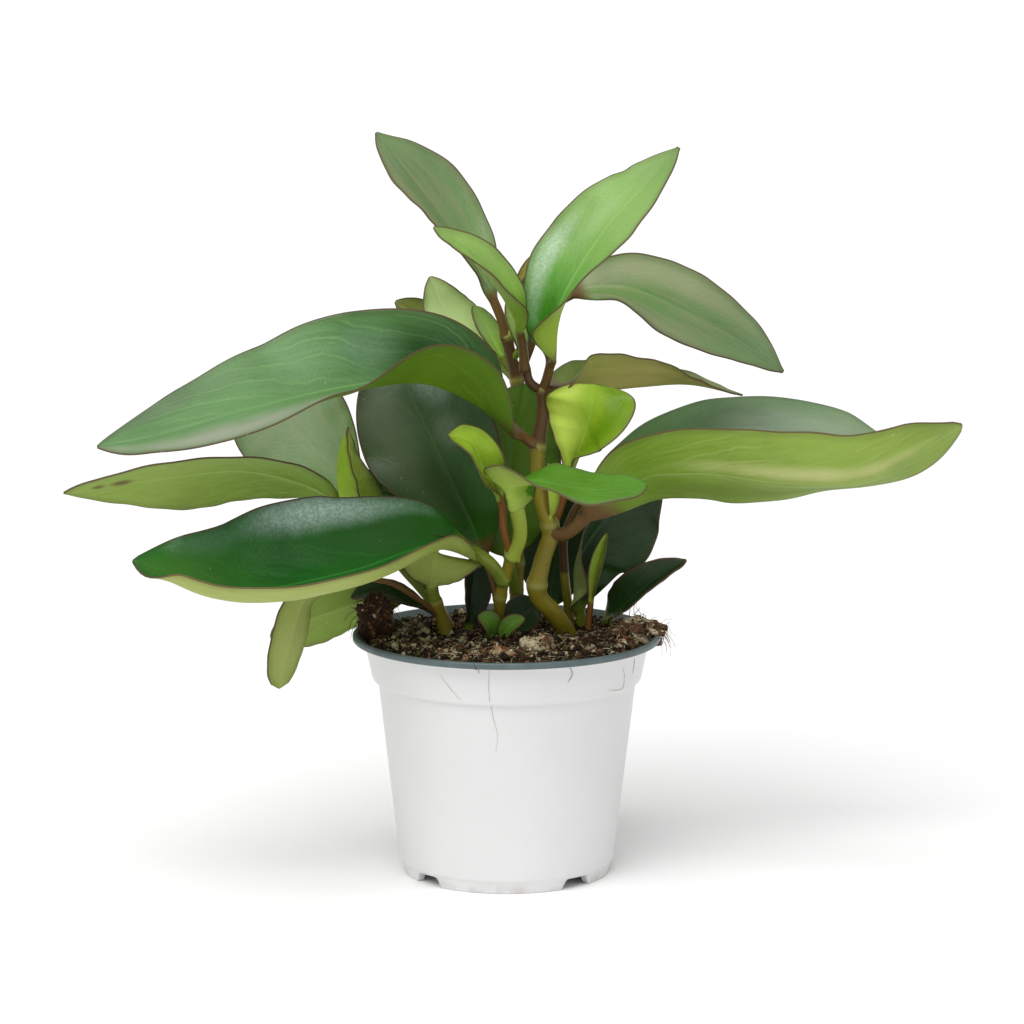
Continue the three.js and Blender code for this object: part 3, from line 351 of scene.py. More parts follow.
        face=[(-0.2, 0.6, 0.8), (0, 0.7, 0.8), (-0.3, 0.6, 0.8)], left=[-10, -5, 22, -15],
        right=[12, 15, 30, 30], curl=[5, 15],
        # Painted highlight in the pale blemish by the midrib, painted shade in the dark one on the
        # other half.
        blemishes_and_painted_light=[(0.4, 0.6, 0.6, 0.5, 0.7, (92, 116, 24)),
                   (0.6, -0.2, 0.4, 0.2, 0.6, (196, 196, 136)),
                   (0.05, 0, 0.25, 1.2, 0.6, (92, 130, 2))]),
    "leaf_right_rear": dict(
        half=25, outline=OVAL, stalk=0.12, slot="leaf_dark", tones=("blue", "olive", "brown"),
        path=[(22, 19, 128), (29, 25, 141), (53, 38, 154.5), (85, 51, 166), (117, 60, 166.5),
              (151, 58, 162)],
        face=[(-0.3, -0.1, 0.95), (0, -0.12, 1), (0.2, -0.3, 0.9)], left=[25, 10, 5], right=[20, 5, 0],
        curl=[5, 5],
        patches=[(0.85, 0, 0.4, 1.6, 0.5, (150, 158, 130))],
        painted_sheens=[(0.72, 0, 0.25, 0.7, 0.5, (150, 174, 150))]),
    "leaf_right_folded": dict(
        half=22, outline=OVAL, stalk=0.2, radius=2, slot="leaf_dark", tones=("night", "leek", "green"),
        path=[(31, 19, 82), (30, 19, 93), (28, 17, 104), (29, 17, 120), (38, 19, 134), (48.5, 20, 145),
              (60, 18, 153)],
        face=[(0.6, -0.8, 0.2), (0.5, -0.8, 0.3), (0.5, -0.8, 0.3)], left=[85, 55, 15],
        right=[20, 10, 5], curl=[10, 10],
        blemishes_and_painted_light=[(0.4, 0, 1, 1.6, 0.8, (140, 156, 90))]),
    "leaf_right_low": dict(
        half=9.5, outline=(0.5, 0.8), stalk=0.25, radius=1.5, slot="leaf_dark",
        tones=("night", "pale", "green"),
        path=[(38, 25, 82), (38, 24, 90), (40, 20, 96), (48, 13, 104), (58, 8, 114), (70, 5, 122)],
        face=[(-0.2, -0.7, 0.7)], left=[30, 35, 30], right=[30, 30, 20], curl=[10, 20]),
    "leaf_pot_left": dict(
        half=5.5, outline=OVAL, stalk=0.35, radius=1.2, slot="leaf_bright",
        tones=("leek", "lime", "green"),
        path=[(-5, 4, 84), (-6, 2, 91), (-7, -3, 98), (-11, -6, 102)],
        face=[(0.3, -0.8, 0.5), (0.3, -0.8, 0.5), (0.2, -0.7, 0.7)], left=[25, 15, 10],
        right=[25, 15, 10], curl=[15, 15]),
    "leaf_pot_right": dict(
        half=4, outline=OVAL, stalk=0.35, radius=1.1, slot="leaf_bright",
        tones=("leek", "lime", "green"),
        path=[(-1, 2, 84), (-2, 0, 91), (1, -3, 97), (7, -5, 101)],
        face=[(-0.2, -0.8, 0.5), (-0.2, -0.8, 0.5), (-0.2, -0.7, 0.7)], left=[25, 15, 10],
        right=[25, 15, 10], curl=[15, 15]),
    "leaf_stem_left": dict(
        half=20, outline=(1.3, 0.4), stalk=0.25, radius=1.9, slot="leaf_bright",
        tones=("leek", "pale", "green"),
        path=[(-28, 4, 105), (-29, 0, 113), (-28, -3, 121), (-27, -2, 127), (-26, 3, 130)],
        face=[(0, 0.9, 0.4), (0, 0.9, 0.4), (0, 0.3, 0.95)], left=[-25, -25], right=[-30, -30],
        curl=[-10, -10],
        # Both blemishes are painted light that lifts the shaded underside.
        blemishes_and_painted_light=[(0.5, 0, 1, 1.4, 0.7, (162, 176, 96)), (0.5, 0, 0.8, 1.5, 0.5, (172, 190, 88))]),
    "leaf_hanging": dict(
        half=10, outline=(0.7, 0.45), stalk=0.45, radius=1, slot="leaf_bright",
        tones=("leek", "lime", "brown"),
        path=[(-26, 5, 100), (-37, -3, 110), (-46, -9, 116), (-64, -16, 118), (-77, -21, 113),
              (-83.5, -26, 95), (-87.5, -25, 77.5)],
        face=[(-0.3, 0.6, 0.7), (-0.6, 0.6, 0.5), (-0.7, 0.6, 0)], left=[10, 10], right=[10, 10],
        curl=[-10, -10],
        blemishes_and_painted_light=[(0.5, 0, 1, 1.6, 0.6, (176, 180, 110))]),
    "leaf_hanging_rear": dict(
        half=16, outline=OVAL, stalk=0.25, radius=1.4, slot="leaf_bright",
        tones=("leek", "lime", "green"),
        path=[(-24, 22, 94), (-34, 26, 101), (-52, 30, 102), (-73, 24, 97), (-93, 14, 90)],
        face=[(-0.1, 0.8, 0.6), (-0.2, 0.8, 0.6), (-0.3, 0.8, 0.5)], left=[5, 5], right=[5, 5],
        curl=[-10, -10]),
    "leaf_low_dark": dict(
        half=6, outline=OVAL, stalk=0.2, radius=1.4, slot="leaf_dark",
        tones=("night", "olive", "brown"),
        path=[(-25, 22, 96), (-34, 18, 102), (-43, 15, 106), (-52, 13, 108), (-61, 11, 106)],
        face=[(0, -0.6, 0.8)], left=[15, 15], right=[15, 15], curl=[10, 10]),
    "leaf_low_rear": dict(
        half=8, outline=OVAL, stalk=0.3, radius=1.4, slot="leaf_dark",
        tones=("night", "olive", "green"),
        path=[(2, 14, 82), (3, 16, 92), (7, 18, 98), (13, 20, 102)],
        face=[(0, -0.8, 0.6)], left=[15, 15], right=[15, 15], curl=[10, 10]),
    "leaf_rear_dark": dict(
        half=17, outline=OVAL, stalk=0.25, radius=1.6, slot="leaf_dark",
        tones=("night", "olive", "green"),
        path=[(16, 34, 82), (17, 35, 100), (20, 38, 120), (24, 40, 142)],
        face=[(0, -1, 0.2)], left=[15, 15], right=[15, 15], curl=[10, 10]),
    "leaf_soil_folded": dict(
        half=8, outline=OVAL, stalk=0.25, radius=1.6, slot="leaf_dark",
        tones=("night", "olive", "green"),
        path=[(-15, 16, 82), (-15, 16, 92), (-14, 18, 106), (-12, 20, 124)],
        face=[(0.6, -0.7, 0.2)], left=[40, 20], right=[40, 20], curl=[10, 10]),
    "leaf_young_narrow": dict(
        half=2.8, outline=LANCE, stalk=0.1, radius=1, slot="leaf_young",
        tones=("young", "yellow", "yellow"),
        path=[(15.5, -1, 137), (18, -5, 143), (18.5, -6.5, 151), (16, -6, 162)],
        face=[(-0.3, -0.9, 0.2)], left=[30, 20], right=[30, 20], curl=[10, 10]),
    "leaf_right_young": dict(
        half=3.2, outline=LANCE, stalk=0.4, radius=1, slot="leaf_young",
        tones=("young", "yellow", "orange"),
        path=[(32, 14, 82), (32, 13, 92), (33, 12, 104), (35, 11, 117), (39, 10, 132)],
        face=[(-0.3, -0.9, 0.2)], left=[40, 30], right=[40, 30], curl=[10, 10]),
}

# Peat clumps and chunks: centre, half sizes, and how red or fibrous each is.
CLUMPS = {
    "clump_left": dict(at=(-51, 0, 100), size=(7, 6, 9), vary=1, fibres=90, tone=0.25),
    "clump_right": dict(at=(52, 2, 94.5), size=(10, 12, 5), vary=2, fibres=150, tone=0.55),
    "chunk_front": dict(at=(12, -22, 92), size=(7, 6, 5.5), vary=3, fibres=0, tone=0.7),
    "chunk_reddish": dict(at=(-3, -32, 90.5), size=(7, 5, 4), vary=4, fibres=0, tone=0.6),
    "chunk_left": dict(at=(-22, -28, 90), size=(6, 5, 3.5), vary=5, fibres=0, tone=0.45),
    "chunk_right": dict(at=(31, -12, 91.5), size=(6, 5, 3.5), vary=6, fibres=0, tone=0.5),
}

# Root hairs stuck to the pot: degrees from the front and height, and a half thickness.
POT_HAIRS = [
    ([(25, 92), (27, 88), (25.5, 85)], 0.1),
    ([(-6.6, 92), (-7.1, 83), (-6, 72.5), (-4, 64.5), (-4.8, 57.7)], 0.05),
    ([(-27.5, 88), (-23.6, 83), (-19, 78)], 0.04),
    ([(54.5, 87), (57, 83), (57.4, 78.5), (47, 79)], 0.06),
    ([(63, 89.5), (64, 86), (64, 83)], 0.07),
    ([(-12, 94.6), (-11, 92.2), (-10.8, 89.5)], 0.12),
]


# Curves and steps

def smooth(x):
    """Three times x squared less two times x cubed, with x held from 0 to 1."""
    t = np.clip(x, 0, 1)
    return t * t * (3 - 2 * t)


def unit(vectors):
    return vectors / np.linalg.norm(vectors, axis=-1, keepdims=True)


def curve_through(points, spans=40):
    """A centripetal Catmull-Rom curve: each span is a cubic whose end tangents are weighed by the
    square roots of the distances between the points."""
    p = np.asarray(points, float)
    p = np.vstack([2 * p[0] - p[1], p, 2 * p[-1] - p[-2]])
    gap = np.sqrt(np.linalg.norm(np.diff(p, axis=0), axis=1))[:, None]
    g0, g1, g2 = gap[:-2], gap[1:-1], gap[2:]
    p0, p1, p2, p3 = p[:-3], p[1:-2], p[2:-1], p[3:]
    t1 = ((p1 - p0) / g0 - (p2 - p0) / (g0 + g1) + (p2 - p1) / g1) * g1
    t2 = ((p2 - p1) / g1 - (p3 - p1) / (g1 + g2) + (p3 - p2) / g2) * g1
    t = np.linspace(0, 1, spans, endpoint=False)[:, None, None]
    cubic = p1 + t1 * t + (3 * (p2 - p1) - 2 * t1 - t2) * t**2 + (2 * (p1 - p2) + t1 + t2) * t**3
    return np.vstack([cubic.swapaxes(0, 1).reshape(-1, 3), p[-2]])


def place_on(points, fraction):
    """Points and headings at fractions of the curve's length. A heading is the chord from 1% of
    the length before to 1% after."""
    curve = curve_through(points)
    reach = np.concatenate([[0], np.cumsum(np.linalg.norm(np.diff(curve, axis=0), axis=1))])

    def at(share):
        target = np.clip(share, 0, 1) * reach[-1]
        return np.stack([np.interp(target, reach, curve[:, k]) for k in range(3)], -1)

    return at(fraction), unit(at(fraction + 0.01) - at(fraction - 0.01)), reach[-1]


def along(values, fraction):
    """Values at fractions of the way through evenly spaced ones, with a smooth step between. A
    single value holds all the way."""
    table = np.asarray(values, float)
    if len(table) == 1:
        table = np.repeat(table, 2, axis=0)
    place = np.clip(fraction, 0, 1) * (len(table) - 1)
    index = np.minimum(place.astype(int), len(table) - 2)
    share = smooth(place - index)
    if table.ndim > 1:
        share = share[:, None]
    return table[index] * (1 - share) + table[index + 1] * share


def waves(x, y, z, seed, octaves=4):
    """Lumpy noise near -1 to 1: sines of three mixed directions, each octave twice as fine and
    half as high as the one before."""
    rng = np.random.default_rng(seed)
    total = np.zeros(np.broadcast(x, y, z).shape)
    for octave in range(octaves):
        for _ in range(3):
            a, b, c = rng.normal(size=3) * 2**octave
            total = total + 0.4 * np.sin(a * x + b * y + c * z + rng.uniform(0, 7)) / 2**octave
    return total


# Meshes

def make_object(name, points, faces, attributes=None, smooth_shaded=True):
    """A mesh object from points in millimetres and arrays of faces of three or four corners."""
    mesh = bpy.data.meshes.new(name)
    corners = np.concatenate([group.ravel() for group in faces])
    sizes = np.concatenate([np.full(len(group), group.shape[1]) for group in faces])
    mesh.vertices.add(len(points))
    mesh.vertices.foreach_set("co", (np.asarray(points) * MM).astype(np.float32).ravel())
    mesh.loops.add(len(corners))
    mesh.loops.foreach_set("vertex_index", corners.astype(np.int32))
    mesh.polygons.add(len(sizes))
    starts = np.concatenate([[0], np.cumsum(sizes)[:-1]])
    mesh.polygons.foreach_set("loop_start", starts.astype(np.int32))
    mesh.polygons.foreach_set("loop_total", sizes.astype(np.int32))
    mesh.polygons.foreach_set("use_smooth", np.full(len(sizes), smooth_shaded))
    for key, values in (attributes or {}).items():
        attribute = mesh.attributes.new(key, "FLOAT_VECTOR", "POINT")
        attribute.data.foreach_set("vector", np.asarray(values, np.float32).ravel())
    mesh.update(calc_edges=True)
    mesh.validate()
    piece = bpy.data.objects.new(name, mesh)
    bpy.context.scene.collection.objects.link(piece)
    return piece


def ring_faces(rows, columns):
    """Quads between neighbouring rings of points, all the way round."""
    i, k = np.meshgrid(np.arange(rows - 1), np.arange(columns), indexing="ij")
    a = i * columns + k
    b = i * columns + (k + 1) % columns
    return np.stack([a, b, b + columns, a + columns], -1).reshape(-1, 4)


def closed_tube(rings, attributes):
    """Points, faces and attributes of rings of points, closed at each end by a fan of triangles to
    the middle of the end ring."""
    rows, columns = rings.shape[:2]
    count = rows * columns
    points = np.vstack([rings.reshape(-1, 3), rings[0].mean(0), rings[-1].mean(0)])
    k = np.arange(columns)
    following = (k + 1) % columns
    last = (rows - 1) * columns
    start = np.stack([following, k, np.full(columns, count)], -1)
    end = np.stack([last + k, last + following, np.full(columns, count + 1)], -1)
    full = {
        key: np.vstack([values.reshape(-1, 3), values[0].mean(0), values[-1].mean(0)])
        for key, values in attributes.items()
    }
    return points, [ring_faces(rows, columns), start, end], full


def tube_rings(points, headings, radii, sides):
    """Circles square to a path: the middle, plus a radius times the cosine of the angle to one
    side and its sine to the other."""
    side = np.array([1.0, 0, 0]) - headings * headings[:, :1]
    weak = np.linalg.norm(side, axis=1) < 0.2
    side[weak] = np.array([0, 1.0, 0]) - headings[weak] * headings[weak][:, 1:2]
    side = unit(side)
    back = np.cross(headings, side)
    angle = 2 * np.pi * np.arange(sides) / sides
    circle = side[:, None] * np.cos(angle)[:, None] + back[:, None] * np.sin(angle)[:, None]
    return points[:, None] + circle * np.asarray(radii)[:, None, None]


def add_piece(name, form, nodes, material, smooth_shaded=True):
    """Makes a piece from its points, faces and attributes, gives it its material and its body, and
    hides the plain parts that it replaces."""
    piece = make_object(name, *form, smooth_shaded=smooth_shaded)
    piece.data.materials.append(material)
    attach(piece, "root")
    if nodes:
        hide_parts(*nodes)


# Materials

def linear(colour):
    """A screen colour from 0 to 255 as linear light, by the usual power of 2.4."""
    c = np.asarray(colour, float) / 255
    return (*np.where(c <= 0.04045, c / 12.92, ((c + 0.055) / 1.055) ** 2.4), 1.0)


def tint(colour, factor=1, shift=0):
    """A screen colour times a factor and moved, as linear light."""
    return linear(np.clip(np.multiply(colour, factor) + shift, 0, 255))


class Shade:
    """A material whose nodes are added one after another and linked by value."""

    def __init__(self, name):
        self.material = bpy.data.materials.new(name)
        self.material.use_nodes = True
        self.tree = self.material.node_tree
        self.shader = self.tree.nodes["Principled BSDF"]

    def node(self, kind, **settings):
        made = self.tree.nodes.new(kind)
        for key, value in settings.items():
            setattr(made, key, value)
        return made

    def put(self, value, socket):
        if isinstance(value, bpy.types.NodeSocket):
            self.tree.links.new(value, socket)
        else:
            socket.default_value = value

    def math(self, operation, *values, clamp=False):
        made = self.node("ShaderNodeMath", operation=operation, use_clamp=clamp)
        for value, socket in zip(values, made.inputs):
            self.put(value, socket)
        return made.outputs[0]

    def chain(self, operation, first, *rest):
        for value in rest:
            first = self.math(operation, first, value)
        return first

    def total(self, *values):
        return self.chain("ADD", *values)

    def times(self, *values):
        return self.chain("MULTIPLY", *values)

    def centred(self, noise, reach):
        """A noise from 0 to 1 laid round 0, times its reach."""
        return self.times(self.math("SUBTRACT", noise, 0.5), reach)

    def step(self, value, low, high):
        made = self.node("ShaderNodeMapRange", interpolation_type="SMOOTHSTEP")
        for value_in, name in ((value, "Value"), (low, "From Min"), (high, "From Max")):
            self.put(value_in, made.inputs[name])
        return made.outputs[0]

    def mix(self, factor, first, second):
        made = self.node("ShaderNodeMix", data_type="RGBA")
        self.put(factor, made.inputs[0])
        self.put(first, made.inputs[6])
        self.put(second, made.inputs[7])
        return made.outputs[2]

    def paint(self, colour, tone, mask, strength=1.0):
        """The colour turned towards a screen tone by a mask times a strength."""
        return self.mix(self.times(mask, strength), colour, linear(tone))

    def blend(self, factor, first, second):
        made = self.node("ShaderNodeMix", data_type="FLOAT")
        self.put(factor, made.inputs[0])
        self.put(first, made.inputs[2])
        self.put(second, made.inputs[3])
        return made.outputs[0]

    def parts(self, name):
        source = self.node("ShaderNodeAttribute", attribute_name=name)
        split = self.node("ShaderNodeSeparateXYZ")
        self.put(source.outputs["Vector"], split.inputs[0])
        return split.outputs

    def place(self):
        return self.node("ShaderNodeTexCoord").outputs["Object"]

    def vector(self, x, y, z):
        made = self.node("ShaderNodeCombineXYZ")
        for value, socket in zip((x, y, z), made.inputs):
            self.put(value, socket)
        return made.outputs[0]

    def noise(self, vector, scale, detail=3, roughness=0.55):
        made = self.node("ShaderNodeTexNoise")
        self.put(vector, made.inputs["Vector"])
        made.inputs["Scale"].default_value = scale
        made.inputs["Detail"].default_value = detail
        made.inputs["Roughness"].default_value = roughness
        return made.outputs["Fac"]

    def cells(self, vector, scale):
        made = self.node("ShaderNodeTexVoronoi")
        self.put(vector, made.inputs["Vector"])
        made.inputs["Scale"].default_value = scale
        return made.outputs["Distance"]

    def bump(self, height, strength, distance):
        made = self.node("ShaderNodeBump")
        made.inputs["Strength"].default_value = strength
        made.inputs["Distance"].default_value = distance
        self.put(height, made.inputs["Height"])
        return made.outputs[0]

    def finish(self, colour, roughness, normal=None, **constants):
        self.put(colour, self.shader.inputs["Base Color"])
        self.put(roughness, self.shader.inputs["Roughness"])
        if normal is not None:
            self.put(normal, self.shader.inputs["Normal"])
        for name, value in constants.items():
            self.shader.inputs[name.replace("_", " ")].default_value = value
        return self.material


# What a user may change

def colour_property(name, description, default):
    return bpy.props.FloatVectorProperty(
        name=name, description=description, default=[c / 255 for c in default],
        subtype="COLOR_GAMMA", size=3, min=0, max=1)


def length_property(name, description, default):
    return bpy.props.FloatProperty(
        name=name, description=description, default=default * MM, unit="LENGTH", min=0, precision=4)


def count_property(name, description, default, least, most):
    return bpy.props.IntProperty(
        name=name, description=description, default=default, min=least, max=most)


def amount_property(name, description, default, least=0, **kind):
    return bpy.props.FloatProperty(
        name=name, description=description, default=default, min=least, **kind)


def screen(colour):
    """A setting's colour as screen values from 0 to 255."""
    return [255 * c for c in colour]


class PotSettings(bpy.types.PropertyGroup):
    wall: colour_property("Wall", "Colour of the outside", (222, 222, 222))
    grey: colour_property("Lip", "Colour of the lip and the inside", (78, 92, 94))
    segments: count_property("Segments", "Steps round the pot", 480, 48, 720)
    dent: length_property("Dent", "Depth of the dent in the left of the wall", 0.6)
    rounding: length_property("Rounding", "Radius of the moulded edges", 0.5)


class PeatSettings(bpy.types.PropertyGroup):
    dark: colour_property("Dark", "Colour of the damp peat", (36, 25, 16))
    brown: colour_property("Brown", "Colour of drier crumbs and fibres", (108, 78, 50))
    pale: colour_property("Pale", "Colour of the pale granules", (216, 202, 168))
    crumbs: count_property("Crumbs", "Number of loose crumbs", 3400, 0, 6000)
    strands: count_property("Strands", "Number of loose fibres", 420, 0, 3000)
    relief: length_property("Relief", "Height of the lumps", 1.1)


class StemSettings(bpy.types.PropertyGroup):
    green: colour_property("Green", "Colour of the stems", (132, 120, 32))
    node: colour_property("Node", "Colour of the swollen nodes", (150, 150, 78))
    brown: colour_property("Brown", "Colour of young stretches", (84, 60, 30))
    sides: count_property("Sides", "Steps round a stem", 28, 8, 64)


class LeafSettings(bpy.types.PropertyGroup):
    rim: colour_property("Rim", "Colour of the thin edge", (88, 60, 48))
    rim_width: length_property("Rim width", "Width of the coloured edge", 0.38)
    vein_strength: amount_property(
        "Veins", "How far the side veins stand out in colour", 0.4, max=1, subtype="FACTOR")
    gloss: amount_property("Gloss", "Shine of the upper side", 0.68, max=1, subtype="FACTOR")
    stations: count_property("Stations", "Steps along a large leaf", 90, 12, 200)


class StageSettings(bpy.types.PropertyGroup):
    floor: colour_property("Floor", "Colour of the floor", (255, 255, 255))
    distance: amount_property(
        "Distance", "From the pot's axis to the camera", 1.5663, 0.1, unit="LENGTH")
    height: amount_property("Height", "Height of the camera", 0.4097, unit="LENGTH")
    pitch: amount_property(
        "Pitch", "How far the camera looks down", math.radians(9.7), subtype="ANGLE",
        unit="ROTATION")
    lens: amount_property("Lens", "Focal length of the camera", 144.1, 1, unit="CAMERA")
    daylight: amount_property("Daylight", "Strength of the light from all sides", 0.55)
    sun: amount_property("Sun", "Strength of the wide soft light overhead", 2.1)


# Tones

def blade_side(base, tip, vein, contrast, midrib, streak=None):
    """A side's screen colours at its base, at its tip, of its veins and of lengthwise bands, and how
    far the side veins and the midrib stand out."""
    return dict(
        base=base, tip=tip, vein=vein, contrast=contrast, midrib=midrib, streak=streak)


UPPER_TONES = {
    "deep": blade_side((26, 98, 22), (28, 96, 26), (60, 150, 50), 0.4, 0.7),
    "dark": blade_side((40, 88, 18), (50, 76, 40), (80, 130, 50), 0.3, 0.35),
    "night": blade_side((34, 66, 22), (38, 60, 32), (66, 96, 50), 0.25, 0.25),
    "moss": blade_side((76, 116, 22), (84, 122, 30), (100, 140, 50), 0.3, 0.3),
    "blue": blade_side((80, 124, 56), (94, 130, 84), (125, 165, 100), 0.5, 0.3),
    "mid": blade_side((46, 96, 26), (98, 138, 84), (138, 178, 110), 0.7, 0.5),
    "bright": blade_side((60, 150, 16), (134, 172, 92), (165, 200, 120), 0.5, 0.45),
    "vivid": blade_side((84, 146, 30), (86, 140, 36), (112, 165, 70), 0.5, 0.25),
    "fresh": blade_side((150, 196, 60), (150, 188, 96), (180, 208, 120), 0.5, 0.3),
    "grey": blade_side((104, 150, 66), (112, 142, 92), (145, 172, 112), 0.5, 0.4, (140, 148, 106)),
    "leek": blade_side((100, 146, 44), (92, 136, 44), (140, 175, 90), 0.5, 0.4),
    "young": blade_side((178, 200, 70), (150, 186, 44), (190, 208, 100), 0.3, 0.4),
    "straw": blade_side((206, 200, 96), (176, 172, 76), (222, 214, 130), 0.5, 0.4),
}
UNDER_TONES = {
    "olive": blade_side((80, 116, 2), (90, 124, 20), (120, 150, 50), 0.35, 0.4),
    "lime": blade_side((102, 138, 16), (134, 160, 66), (176, 190, 116), 0.6, 0.5),
    "leek": blade_side((120, 140, 66), (104, 128, 60), (150, 170, 90), 0.5, 0.5),
    "pale": blade_side((138, 158, 70), (160, 172, 90), (190, 198, 130), 0.5, 0.4),
    "tan": blade_side((146, 162, 62), (178, 174, 100), (185, 182, 130), 0.7, 0.4, (130, 140, 60)),
    "yellow": blade_side((164, 186, 62), (132, 168, 24), (180, 200, 90), 0.4, 0.4),
}
STALK_TONES = {
    "green": (118, 134, 46),
    "brown": (104, 78, 42),
    "yellow": (158, 176, 70),
    "orange": (134, 86, 42),
}


# Pot

def notch_height(angle):
    """How far the foot is cut away at each angle: full height over the middle of a notch, falling
    in a straight slant at each end."""
    height = np.zeros_like(angle)
    for middle in NOTCH_ANGLES:
        turn = (angle - np.radians(middle - 90) + np.pi) % (2 * np.pi) - np.pi
        away = FOOT_RADIUS * np.abs(turn)
        slant = (NOTCH_WIDTH / 2 + 1.6 - away) * (FOOT_HEIGHT + 0.8) / 2.8 - 1
        height = np.maximum(height, np.clip(slant, 0, FOOT_HEIGHT - 0.2))
    return height


def rounded(corners, radius, steps=3):
    """A profile with each inner corner replaced by a quadratic curve between points set back from
    it by the radius, or by 45% of the shorter neighbouring side."""
    p = np.asarray(corners, float)
    before, here, after = p[:-2], p[1:-1], p[2:]
    back = np.linalg.norm(before - here, axis=1, keepdims=True)
    ahead = np.linalg.norm(after - here, axis=1, keepdims=True)
    reach = np.minimum(radius, 0.45 * np.minimum(back, ahead))
    start = here + (before - here) * reach / back
    end = here + (after - here) * reach / ahead
    t = np.linspace(0, 1, steps + 1)[:, None, None]
    arc = (1 - t) ** 2 * start + 2 * t * (1 - t) * here + t**2 * end
    return np.vstack([p[:1], arc.swapaxes(0, 1).reshape(-1, 2), p[-1:]])


def pot_profile():
    """Corners from the axis under the floor, out and up over the lip, and down inside. The third
    value is 0 outside, and 1 on the grey lip and inside."""
    return [
        (0.01, FOOT_HEIGHT + 0.9, 0),
        (FOOT_RADIUS - 3.2, FOOT_HEIGHT + 0.9, 0),
        (FOOT_RADIUS - 2.6, 0, 0),
        (FOOT_RADIUS, 0, 0),
        (FOOT_RADIUS + 0.9, FOOT_HEIGHT, 0),
        (WALL_FOOT_RADIUS, FOOT_HEIGHT + 1, 0),
        (WALL_FOOT_RADIUS + 0.6, FOOT_HEIGHT + 6, 0),
        (WALL_TOP_RADIUS, COLLAR_STEP - 1, 0),
        (COLLAR_FOOT_RADIUS - 0.5, COLLAR_STEP - 0.4, 0),
        (COLLAR_FOOT_RADIUS, COLLAR_STEP + 0.6, 0),
        (COLLAR_TOP_RADIUS, LIP_FOOT, 0),
        (LIP_RADIUS - 0.6, LIP_FOOT, 0.5),
        (LIP_RADIUS, LIP_FOOT + 0.5, 1),
        (LIP_RADIUS, POT_HEIGHT - 0.5, 1),
        (LIP_RADIUS - 0.6, POT_HEIGHT, 1),
        (LIP_RADIUS - 1.6, POT_HEIGHT, 1),
        (COLLAR_TOP_RADIUS - WALL_THICKNESS, LIP_FOOT - 0.5, 1),
        (WALL_TOP_RADIUS - WALL_THICKNESS + 0.6, COLLAR_STEP, 1),
        (WALL_FOOT_RADIUS - WALL_THICKNESS, FOOT_HEIGHT + 2.4, 1),
        (0.01, FOOT_HEIGHT + 2.4, 1),
    ]


def pot_material(looks):
    """White plastic with faint clouds, dirt specks, patchy darkening near the floor and a grey lip."""
    shade = Shade("white_plastic")
    side = shade.parts("skin")[0]
    place = shade.place()
    cloud = shade.noise(place, 28, 3)
    white = screen(looks.wall)
    wall = shade.mix(cloud, tint(white, shift=-5), tint(white, shift=4))
    scuffs = shade.step(shade.noise(place, 900, 1), 0.74, 0.8)
    dirt = shade.times(scuffs, shade.step(shade.noise(place, 60, 2), 0.55, 0.75))
    wall = shade.paint(wall, (150, 135, 115), dirt, 0.35)
    height = shade.node("ShaderNodeSeparateXYZ")
    shade.put(place, height.inputs[0])
    low = shade.step(height.outputs[2], 6 * MM, 0.0)
    # Patchy brownish darkening within 6 mm of the floor.
    near_floor_darkening = shade.times(low, shade.step(shade.noise(place, 90, 3), 0.45, 0.65))
    wall = shade.paint(wall, (140, 120, 105), near_floor_darkening, 0.3)
    grey = screen(looks.grey)
    lip = shade.mix(shade.noise(place, 160, 4), tint(grey, 0.8), tint(grey, 1.25))
    rough = shade.blend(side, shade.total(0.3, shade.times(cloud, 0.12)), 0.42)
    normal = shade.bump(shade.noise(place, 420, 2), 0.06, 0.0004)
    return shade.finish(shade.mix(side, wall, lip), rough, normal, Specular_IOR_Level=0.5)


class PEPEROMIA_OT_pot(bpy.types.Operator):
    """Turns the nursery pot, with its grey lip, collar, dent and notched foot"""

    bl_idname = "peperomia.pot"
    bl_label = "Pot"

    def execute(self, context):
        looks = context.scene.peperomia_pot
        corners = np.array(pot_profile())
        outline = rounded(corners[:, :2], looks.rounding / MM)
        skin = np.concatenate([corners[:1, 2], np.repeat(corners[1:-1, 2], 4), corners[-1:, 2]])
        turns = 2 * np.pi * np.arange(looks.segments) / looks.segments
        radius, turn = np.meshgrid(outline[:, 0], turns, indexing="ij")
        height = np.meshgrid(outline[:, 1], turns, indexing="ij")[0]
        height = np.maximum(height, notch_height(turn))
        radius = radius + self.flaws(radius, height, turn, looks.dent / MM)
        rings = np.stack([radius * np.cos(turn), radius * np.sin(turn), height], -1)
        side = np.broadcast_to(skin[:, None, None], (*turn.shape, 1))
        attributes = {"skin": np.concatenate([side, side, side], -1)}
        add_piece("pot_fine", closed_tube(rings, attributes), ["pot"], pot_material(looks))
        return {"FINISHED"}

    @staticmethod
    def flaws(radius, height, turn, dent):
        """Radius lost in a bell-shaped dent in the left of the wall, and a slight wave round the
        thin wall that fades at the foot and the lip."""
        away = (turn - np.radians(DENT_ANGLE) + np.pi) % (2 * np.pi) - np.pi
        bell = np.exp(-((away / 0.35) ** 2) - ((height - DENT_HEIGHT) / 9) ** 2)
        rise = smooth((height - 10) / 30) * smooth((92 - height) / 6) * (radius > 30)
        ripple = 0.12 * np.sin(3 * turn + 1) + 0.06 * np.sin(7 * turn + height * 0.06)
        return rise * (ripple - dent * bell)


# Peat

